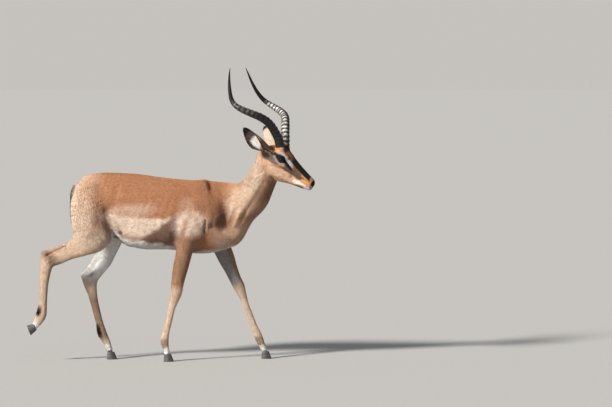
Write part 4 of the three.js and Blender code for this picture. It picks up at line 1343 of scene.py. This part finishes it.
def flat_locks(root, normal, lie, size, fitted=True):
    """Five points to a lock: the root under the hide, a ring of three, low at its edges and high in
    the middle, and the tip. fitted moves ring and tip to the hide's height."""
    count = len(root)
    length, width, lift = (size * MM * [1, 1, 1]).T
    length = length * dice.uniform(0.8, 1.2, count)
    lift = lift * dice.uniform(0.3, 1.5, count)
    way = unit(lie - (lie * normal).sum(1, keepdims=True) * normal)
    turn = dice.normal(0, WAY_SPREAD, count)[:, None]
    way = way * np.cos(turn) + np.cross(normal, way) * np.sin(turn)
    side = np.cross(normal, way)
    middle = root + way * (RING_AT * length)[:, None]
    tip = root + way * length[:, None]
    if fitted:
        middle = middle - normal * np.clip(field(middle), -RING_MOST, RING_MOST)[:, None]
        tip = tip - normal * np.clip(field(tip), -TIP_MOST, TIP_MOST)[:, None]
    half = side * (width / 2)[:, None]
    crest = middle + normal * (RING_HEIGHT * width)[:, None]
    return np.stack([root - normal * ROOT_DEPTH, middle + half, crest, middle - half,
                     tip + normal * lift[:, None]], 1)


def coat_piece(name, points, colours, lie, places):
    """One piece of the coat, of locks (n x points x 3), with the unwrap that holds its colours."""
    count, each = points.shape[:2]
    triangles = (LOCK_FACES[None] + each * np.arange(count)[:, None, None]).reshape(-1, 3)
    piece = mesh_object(name, points.reshape(-1, 3), triangles, coat_material)
    set_colours(piece.data, np.clip(colours, 0, 1).reshape(-1, 3))
    set_value(piece.data, "upright", upright(np.repeat(lie, each, axis=0)))
    spots = (places[:, None] + LOCK_UV[None] * PATCH).reshape(-1, 2)
    layer = piece.data.uv_layers.new(name="OFBake")
    layer.data.foreach_set("uv", spots[triangles.ravel()].astype(np.float32).ravel())
    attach(piece, "root")


def shaded(colour):
    """The colours of each lock's points, darker at its root as painted shade under the locks, with its
    own difference in tone.
    """
    along = np.linspace(ROOT_SHADE, TIP_TONE, len(LOCK_UV))
    tone = dice.normal(1, TONE_SPREAD, len(colour))[:, None] * along[None]
    return colour[:, None] * tone[..., None]


def tile_place(number, across, up):
    """A place in the unwrap's tile of this number; across and up run from 0 to 1."""
    place = np.stack([number % TILES + 0.04 + 0.92 * across, number // TILES + 0.04 + 0.92 * up], 1)
    return place / TILES


coat_material = hair_material("coat", 0.00015)
bar_locks = np.array([next(v for k, v in LOCKS.items() if k in name) for name in BAR_NAMES], float)
sizes = skin_place["shares"] @ bar_locks
muzzle = ramp_step(skin_head[:, 0], 90, 230) * on_head
sizes *= (1 - muzzle[:, None] * [0.12, 0.42, 0.25, 0.5])

# Where the hair is longer and stands out: (where, a lock's length, its tip over the hide).
own = to_own(skin_points)
under = own[:, 2] < np.interp(own[:, 0], *np.transpose(BELLY_LINE)) + 8
cannons = share_of(skin_place, "cannon")
stations = skin_place["steps"] / STEPS
behind_leg = ramp_step(skin_place["front"], 0.0, -0.5)
forelegs = share_of(skin_place, "fore")
jaw_corner = np.array([44, 34, 935])
longer = [
    (share_of(skin_place, "barrel", "neck") * under, 21, 3.5),
    (share_of(skin_place, "neck") * ramp_step(skin_place["front"], -0.3, 0.9), 16, 2.4),
    (share_of(skin_place, "tail") * ramp_step(own[:, 2], 790, 660), 36, 3.5),
    (share_of(skin_place, "scrotum"), 10, 1.0),
    (stroke(own[:, [0, 2]], GROIN_TUFT, 13) * (np.abs(own[:, 1]) < GROIN_HALF), 24, 6.0),
    (cannons * np.exp(-((stations - GLAND_AT) / 0.5) ** 4) * behind_leg, 23, 6.0),
    (forelegs * ramp_step(own[:, 2], 125, 100) * ramp_step(own[:, 2], 55, 75) * behind_leg, 14, 3.0),
    (np.maximum(forelegs, cannons) * ramp_step(own[:, 2], 66, 48), 20, 1.8),
    (cannons * ramp_step(stations, 6.2, 6.8), 20, 1.8),
    (on_head * ramp_step(folded[:, 0], 60, 74) * ramp_step(folded[:, 0], 128, 104)
     * ramp_step(folded[:, 1], 34, 22) * ramp_step(skin_head[:, 2], 1030, 1046), 19, 9.0),
    (on_head * np.exp(-(np.linalg.norm(folded - jaw_corner, axis=1) / 30) ** 2), 15, 2.6)]
for where, length, lift in longer:
    sizes[:, 1] += np.clip(where, 0, 1) * (length - sizes[:, 1])
    sizes[:, 3] += np.clip(where, 0, 1) * (lift - sizes[:, 3])
hairless = (bare > 0.5) | (on_head & (line_distance(folded, HEAD_STROKES[0][0]) < 2.2))

normals = vertex_normals(skin_points, skin_faces)
haired = skin_faces[~hairless[skin_faces].any(1)]
corners, weights = scattered(skin_points, haired, sizes[:, 0])
lock_root = between(skin_points, corners, weights)
lock_normal = unit(between(normals, corners, weights))
lock_lie = between(skin_lie[:len(skin_points)], corners, weights)
lock_points = flat_locks(lock_root, lock_normal, lock_lie, between(sizes[:, 1:], corners, weights))
lock_colour = shaded(between(skin_colour[:len(skin_points)], corners, weights))
first = corners[np.arange(len(corners)), weights.argmax(1)]
nearest = skin_place["nearest"][first]
bar_length = np.array([len(b["line"]) - 1 for b in BARS.values()])
round_bar = np.arctan2(skin_place["sideways"], skin_place["front"])[first] / (2 * math.pi) + 0.5
down_bar = np.clip(skin_place["steps"][first] / bar_length[nearest], 0, 1)
lock_uv = tile_place(nearest, round_bar, down_bar)

on_left = lock_root[:, 1] > midline
COAT_PIECES = {
    "coat_trunk": ("barrel", "sheath", "scrotum", "blade"), "coat_neck": ("neck",),
    "coat_head": ("skull", "jaw", "cheek", "brow", "ear_root", "horn_root"), "coat_tail": ("tail",),
    "coat_leg_front": ("fore",), "coat_haunch": ("thigh",),
    "coat_leg_hind": ("shank", "tendon", "heel", "cannon")}
for name, words in COAT_PIECES.items():
    own = np.isin(nearest, bars_named(*words))
    halves = {name: own}
    if name in ("coat_trunk", "coat_leg_front", "coat_haunch", "coat_leg_hind"):
        halves = {f"{name}_right": own & ~on_left, f"{name}_left": own & on_left}
    for word, some in halves.items():
        coat_piece(word, lock_points[some], lock_colour[some], lock_lie[some], lock_uv[some])

for number, word in enumerate(("right", "left")):
    ear_points, ear_faces, ear_shares, ear_lie = ears[number]
    ear_triangles = ear_faces[:, [0, 1, 2, 0, 2, 3]].reshape(-1, 3) - len(skin_points)
    ear_triangles -= ear_triangles.min()
    corners, weights = scattered(ear_points, ear_triangles, np.full(len(ear_points), ON_EARS[0]))
    ear_root = between(ear_points, corners, weights)
    ear_normal = unit(between(vertex_normals(ear_points, ear_triangles), corners, weights))
    up, across, inside = ear_shares[corners[:, 0]].T
    fringe = inside * ramp_step(across, 0.75, 0.3) * ramp_step(up, 0.7, 0.4) * (across > -0.93)
    ear_size = np.array(ON_EARS[1:]) * (1.1 - 0.4 * up[:, None])
    ear_size += fringe[:, None] * (np.array([19, 1.5, 4.5]) - ear_size)
    ear_way = between(ear_lie, corners, weights)
    ear_locks = flat_locks(ear_root, ear_normal, ear_way, ear_size, fitted=False)
    ear_colour = shaded(between(ear_markings(ear_shares), corners, weights))
    ear_uv = tile_place(np.full(len(up), len(BARS) + number), inside / 2 + (across + 1) / 4 * 0.96, up)
    coat_piece(f"coat_ear_{word}", ear_locks, ear_colour, ear_way, ear_uv)

# ---------------------------------------------------------------------------------------------
# Eyes: dark glossy balls set deep between the lids, each with a wide dark iris, a pupil that
# lies level, and a thin clear bulge over both.

EYE_RINGS, EYE_SECTORS = 48, 64
CORNEA_RISE, CORNEA_ANGLE = 1.1, math.radians(40)
IRIS_ANGLE = math.radians(37)
PUPIL_HALF = (6.2, 3.6)  # along the slit and up, in mm
EYE_WHITE, IRIS, PUPIL = (0.010, 0.007, 0.006), (0.014, 0.007, 0.005), (0.003, 0.003, 0.004)


def fan(ring, tip):
    """The triangles from a ring of points to a tip."""
    return np.stack([ring, np.roll(ring, -1), np.full(len(ring), tip)], 1)


def closed_rings(rows, columns, turned):
    """The faces of rings of points and of the two poles after them, turned over if asked."""
    count = rows * columns
    ends = np.concatenate([fan(np.arange(columns), count)[:, ::-1],
                           fan(np.arange(count - columns, count), count + 1)])
    faces = [rows_of_quads(rows, columns), ends]
    return [f[:, ::-1] for f in faces] if turned else faces


def eye_material():
    material, tree, shader = new_material("eye", 0.08, Specular_IOR_Level=0.0, Coat_Weight=0.5,
                                          Coat_IOR=1.36, Coat_Roughness=0.02)
    tone = stretched(tree, noise(tree, object_place(tree), 900.0, 4.0), 0, 1, 0.6, 1.4)
    iris = scaled(tree, attribute(tree, "markings")["Color"], tone)
    tree.links.new(iris, shader.inputs["Base Color"])
    return material


eye_finish = eye_material()
for side, word in SIDES:
    theta = np.linspace(0, math.pi, EYE_RINGS + 2)[1:-1, None]
    phi = np.linspace(0, 2 * math.pi, EYE_SECTORS, endpoint=False)[None, :]
    bulge = np.clip(1 - (theta / CORNEA_ANGLE) ** 2, 0, 1) ** 1.5
    radius = EYE_RADIUS + CORNEA_RISE * bulge
    parts = [np.sin(theta) * np.cos(phi), np.sin(theta) * np.sin(phi), np.cos(theta) + 0 * phi]
    q = sum((radius * part)[..., None] * way
            for part, way in zip(parts, (EYE_SLIT, EYE_UP, EYE_LOOKS))).reshape(-1, 3)
    poles = np.array([EYE_LOOKS * (EYE_RADIUS + CORNEA_RISE), -EYE_LOOKS * EYE_RADIUS])
    q = np.concatenate([q, poles])
    off_axis = np.arccos(np.clip(unit(q) @ EYE_LOOKS, -1, 1))
    pupil = np.hypot(q @ EYE_SLIT / PUPIL_HALF[0], q @ EYE_UP / PUPIL_HALF[1])
    tint = np.tile(EYE_WHITE, (len(q), 1))
    tint = paint(tint, ramp_step(off_axis, IRIS_ANGLE + 0.05, IRIS_ANGLE - 0.05), IRIS)
    tint = paint(tint, ramp_step(pupil, 1.1, 0.9) * (off_axis < 1.2), PUPIL)
    q = (q + EYE_PLACE) * [1, side, 1]
    eye = mesh_object(f"eyeball_{word}", from_head(q),
                      closed_rings(EYE_RINGS, EYE_SECTORS, side == LEFT), eye_finish)
    set_colours(eye.data, tint)
    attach(eye, "root")
    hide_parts(f"eye_{word}")

# Lashes: stiff black hair along the edge of the upper lid.
LASHES = 30
lash_along = np.linspace(-14.5, 14.5, LASHES)[:, None]
lash_up = UPPER_LIFT * (1 - np.abs(lash_along / SLIT_HALF) ** 2.2)
lash_out = np.sqrt((EYE_RADIUS + 1.2) ** 2 - lash_along ** 2 - lash_up ** 2)
lash_root = EYE_PLACE + lash_along * EYE_SLIT + lash_up * EYE_UP + lash_out * EYE_LOOKS
lash_way = unit(EYE_LOOKS + 0.05 * lash_along * EYE_SLIT - 0.25 * EYE_UP)
for side, word in SIDES:
    way = way_from_head(lash_way * [1, side, 1])
    up = way_from_head(np.tile(EYE_UP * [1, side, 1], (LASHES, 1)))
    lashes = flat_locks(from_head(lash_root * [1, side, 1]), up, way,
                        np.tile([9.0, 0.8, 1.5], (LASHES, 1)), fitted=False)
    lash_uv = tile_place(np.full(LASHES, len(BARS) + 2), np.linspace(0, 1, LASHES), np.zeros(LASHES))
    coat_piece(f"lashes_{word}", lashes, np.tile(BLACK, (LASHES, len(LOCK_UV), 1)), way, lash_uv)

# ---------------------------------------------------------------------------------------------
# Horns: hollow sheaths of dark horn, lyre-shaped, ringed with raised ridges over two thirds of
# their length and smooth and polished towards the points.

HORN = np.array([  # x, y, z and radius, in the head's frame
    [92, 23, 1046, 19], [90, 28, 1062, 22.5], [86, 42, 1106, 22.3], [77, 64, 1143, 21.5],
    [62, 104, 1187, 20.5], [40, 150, 1217, 19.5], [6, 188, 1238, 18], [-34, 211, 1257, 16],
    [-70, 214, 1277, 13.5], [-98, 198, 1302, 11.5], [-119, 173, 1338, 9.5], [-135, 146, 1384, 7],
    [-145, 122, 1427, 4.5], [-151, 100, 1462, 1.2]])
RIDGE_STEP, RIDGED_SHARE, RIDGE_HEIGHT = 23, 0.66, 0.085
HORN_ROWS, HORN_SIDES = 330, 36
# The second colour is the crests' pale worn horn, brightened as painted sunlight.
HORN_DARK, HORN_WORN_AND_LIT = np.array([0.013, 0.011, 0.010]), np.array([0.78, 0.74, 0.70])


def smooth_rows(rows, count):
    """count rows along the curve through rows, evenly spaced, and the curve's length."""
    dense = curve(rows, 24)
    run = np.concatenate([[0], np.cumsum(np.linalg.norm(np.diff(dense[:, :3], axis=0), axis=1))])
    at = np.linspace(0, run[-1], count)
    return np.stack([np.interp(at, run, column) for column in dense.T], 1), run[-1]


def horn_material():
    material, tree, shader = new_material("horn", 0.4, Specular_IOR_Level=0.35)
    streaks = noise(tree, object_place(tree), 260.0, 6.0, 0.65)
    tone = stretched(tree, streaks, 0.3, 0.7, 0.65, 1.4)
    # The colour carries the painted sunlight on the crests.
    worn_and_lit = scaled(tree, attribute(tree, "markings")["Color"], tone)
    tree.links.new(worn_and_lit, shader.inputs["Base Color"])
    tree.links.new(stretched(tree, streaks, 0, 1, 0.28, 0.55), shader.inputs["Roughness"])
    raise_surface(tree, shader, streaks, 0.5, 0.0006)
    return material


horn_finish = horn_material()
for side, word in SIDES:
    rows, length = smooth_rows(HORN * [1, side, 1, 1], HORN_ROWS)
    share = np.linspace(0, 1, HORN_ROWS)[:, None]
    turn = np.linspace(0, 2 * math.pi, HORN_SIDES, endpoint=False)[None, :]
    along = unit(np.gradient(rows[:, :3], axis=0))
    out = unit(np.cross([0, 1, 0], along))
    across = np.cross(along, out)
    beat = 0.5 - 0.5 * np.cos(2 * math.pi * share * length / RIDGE_STEP
                              + 0.35 * np.sin(turn + 11 * share))
    ringed = ramp_step(share, RIDGED_SHARE + 0.03, RIDGED_SHARE - 0.05)
    crest = beat ** 0.7 * ringed * (0.62 + 0.38 * np.cos(turn))
    swell = RIDGE_HEIGHT * (1.55 * crest - 0.5 * ringed)
    gnarl = 0.012 * np.sin(3 * turn + 23 * share) + 0.010 * np.sin(5 * turn - 61 * share)
    radius = rows[:, 3:4] * (1 + swell + gnarl * ringed)
    q = (rows[:, None, :3] + (radius * np.cos(turn))[..., None] * out[:, None]
         + (radius * np.sin(turn))[..., None] * across[:, None])
    # Pale over the ridge crests on each horn's face towards the sun: partly worn horn, mostly painted
    # sunlight.
    sunlit_face = ramp_step(np.cos(turn + 2.2 * side), -0.35, 0.45)
    upper = ramp_step(share, 0.38, 0.50) * 0.12
    broken = ramp_step(wobble(q.reshape(-1, 3), 17, 14).reshape(radius.shape), -0.9, 0.5)
    worn_and_lit = np.clip(crest * 1.3, 0, 1) ** 1.4 * (0.25 + 0.75 * broken)
    worn_and_lit *= 0.015 + 0.985 * np.maximum(sunlit_face, upper)
    tint = HORN_DARK + worn_and_lit[..., None] * (HORN_WORN_AND_LIT - HORN_DARK)
    tint = tint * (1 - 0.6 * ramp_step(share, 0.60, 0.70)[..., None])
    points = np.concatenate([q.reshape(-1, 3), rows[:1, :3], rows[-1:, :3] + along[-1:] * 0.6])
    horn = mesh_object(f"horn_sheath_{word}", from_head(points),
                       closed_rings(HORN_ROWS, HORN_SIDES, False), horn_finish)
    set_colours(horn.data, np.concatenate([tint.reshape(-1, 3), tint[0, :1], tint[-1, :1]]))
    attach(horn, "root")
    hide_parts(f"horn_{word}")

# ---------------------------------------------------------------------------------------------
# Hooves: two narrow pointed claws to a foot, of dark grey horn in fine level growth rings,
# standing on flat soles, with dust on them. The hind right foot has just left the ground.

HOOF = {"length": 52, "width": 21, "height": 36, "cleft": 2.4}
# By foot: its place, how many degrees its toe points down, and its side.
FEET = {"front_right": ((-22, -78, 0), 0, RIGHT), "front_left": ((464, 68, 0), 0, LEFT),
        "hind_right": ((-713, -88, 163), 70, RIGHT), "hind_left": ((-312, 38, 0), 0, LEFT)}
CLAW_ROWS, CLAW_SIDES = 26, 40


def hoof_material():
    material, tree, shader = new_material("hoof", 0.6)
    place = object_place(tree)
    rings = add_node(tree, "ShaderNodeMapping", {"Scale": (12, 12, 420)}, Vector=place)
    growth = noise(tree, rings.outputs["Vector"], 1.0, 4.0)
    dusty = product(tree, growth, noise(tree, place, 120.0, 6.0, 0.7))
    ramp = colour_ramp(tree, dusty, (0.12, (0.026, 0.025, 0.027)), (0.40, (0.13, 0.127, 0.125)))
    tree.links.new(ramp, shader.inputs["Base Color"])
    raise_surface(tree, shader, growth, 0.5, 0.0005)
    return material


def claw_rows(side):
    """A claw's rings from sole to coronet: a half ellipse bulging outward, narrowed to the toe,
    that draws in and back as it rises."""
    level = np.concatenate([[0, 0.012, 0.035, 0.07], np.linspace(0.12, 1, CLAW_ROWS - 4)])[:, None]
    a = np.linspace(0, 2 * math.pi, CLAW_SIDES, endpoint=False)[None, :]
    foot = 0.95 + 0.05 * np.minimum(1, level / 0.07) ** 0.5
    length = HOOF["length"] * np.minimum(foot, 1.0) * (1 - 0.33 * level)
    width = HOOF["width"] * (foot - 0.12 * level)
    heel = -HOOF["length"] * 0.36 + 3 * level
    x = heel + length * (1 - np.cos(a)) / 2
    bulge = np.where(np.sin(a) > 0, np.abs(np.sin(a)) ** 0.8, 0.22 * np.sin(a))
    toe_in = 1 - 0.35 * np.maximum(0, -np.cos(a))
    y = side * (HOOF["cleft"] / 2 + width * 0.2 + width * 0.8 * bulge * toe_in)
    return np.stack([x, y, HOOF["height"] * level + 0 * a], -1)


hoof_finish = hoof_material()
for foot, (at, toe_down, body_side) in FEET.items():
    tilt = math.radians(toe_down)
    turn = np.array([[math.cos(tilt), 0, math.sin(tilt)], [0, 1, 0],
                     [-math.sin(tilt), 0, math.cos(tilt)]])
    for word, side in (("outer", body_side), ("inner", -body_side)):
        rings = claw_rows(side)
        centres = rings[[0, -1]].mean(1)
        points = np.concatenate([rings.reshape(-1, 3), centres]) @ turn.T + at
        claw = mesh_object(f"claw_{foot}_{word}", points * MM + [0, midline, 0],
                           closed_rings(CLAW_ROWS, CLAW_SIDES, side == LEFT), hoof_finish)
        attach(claw, "root")
        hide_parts(f"hoof_{foot}_{word}")
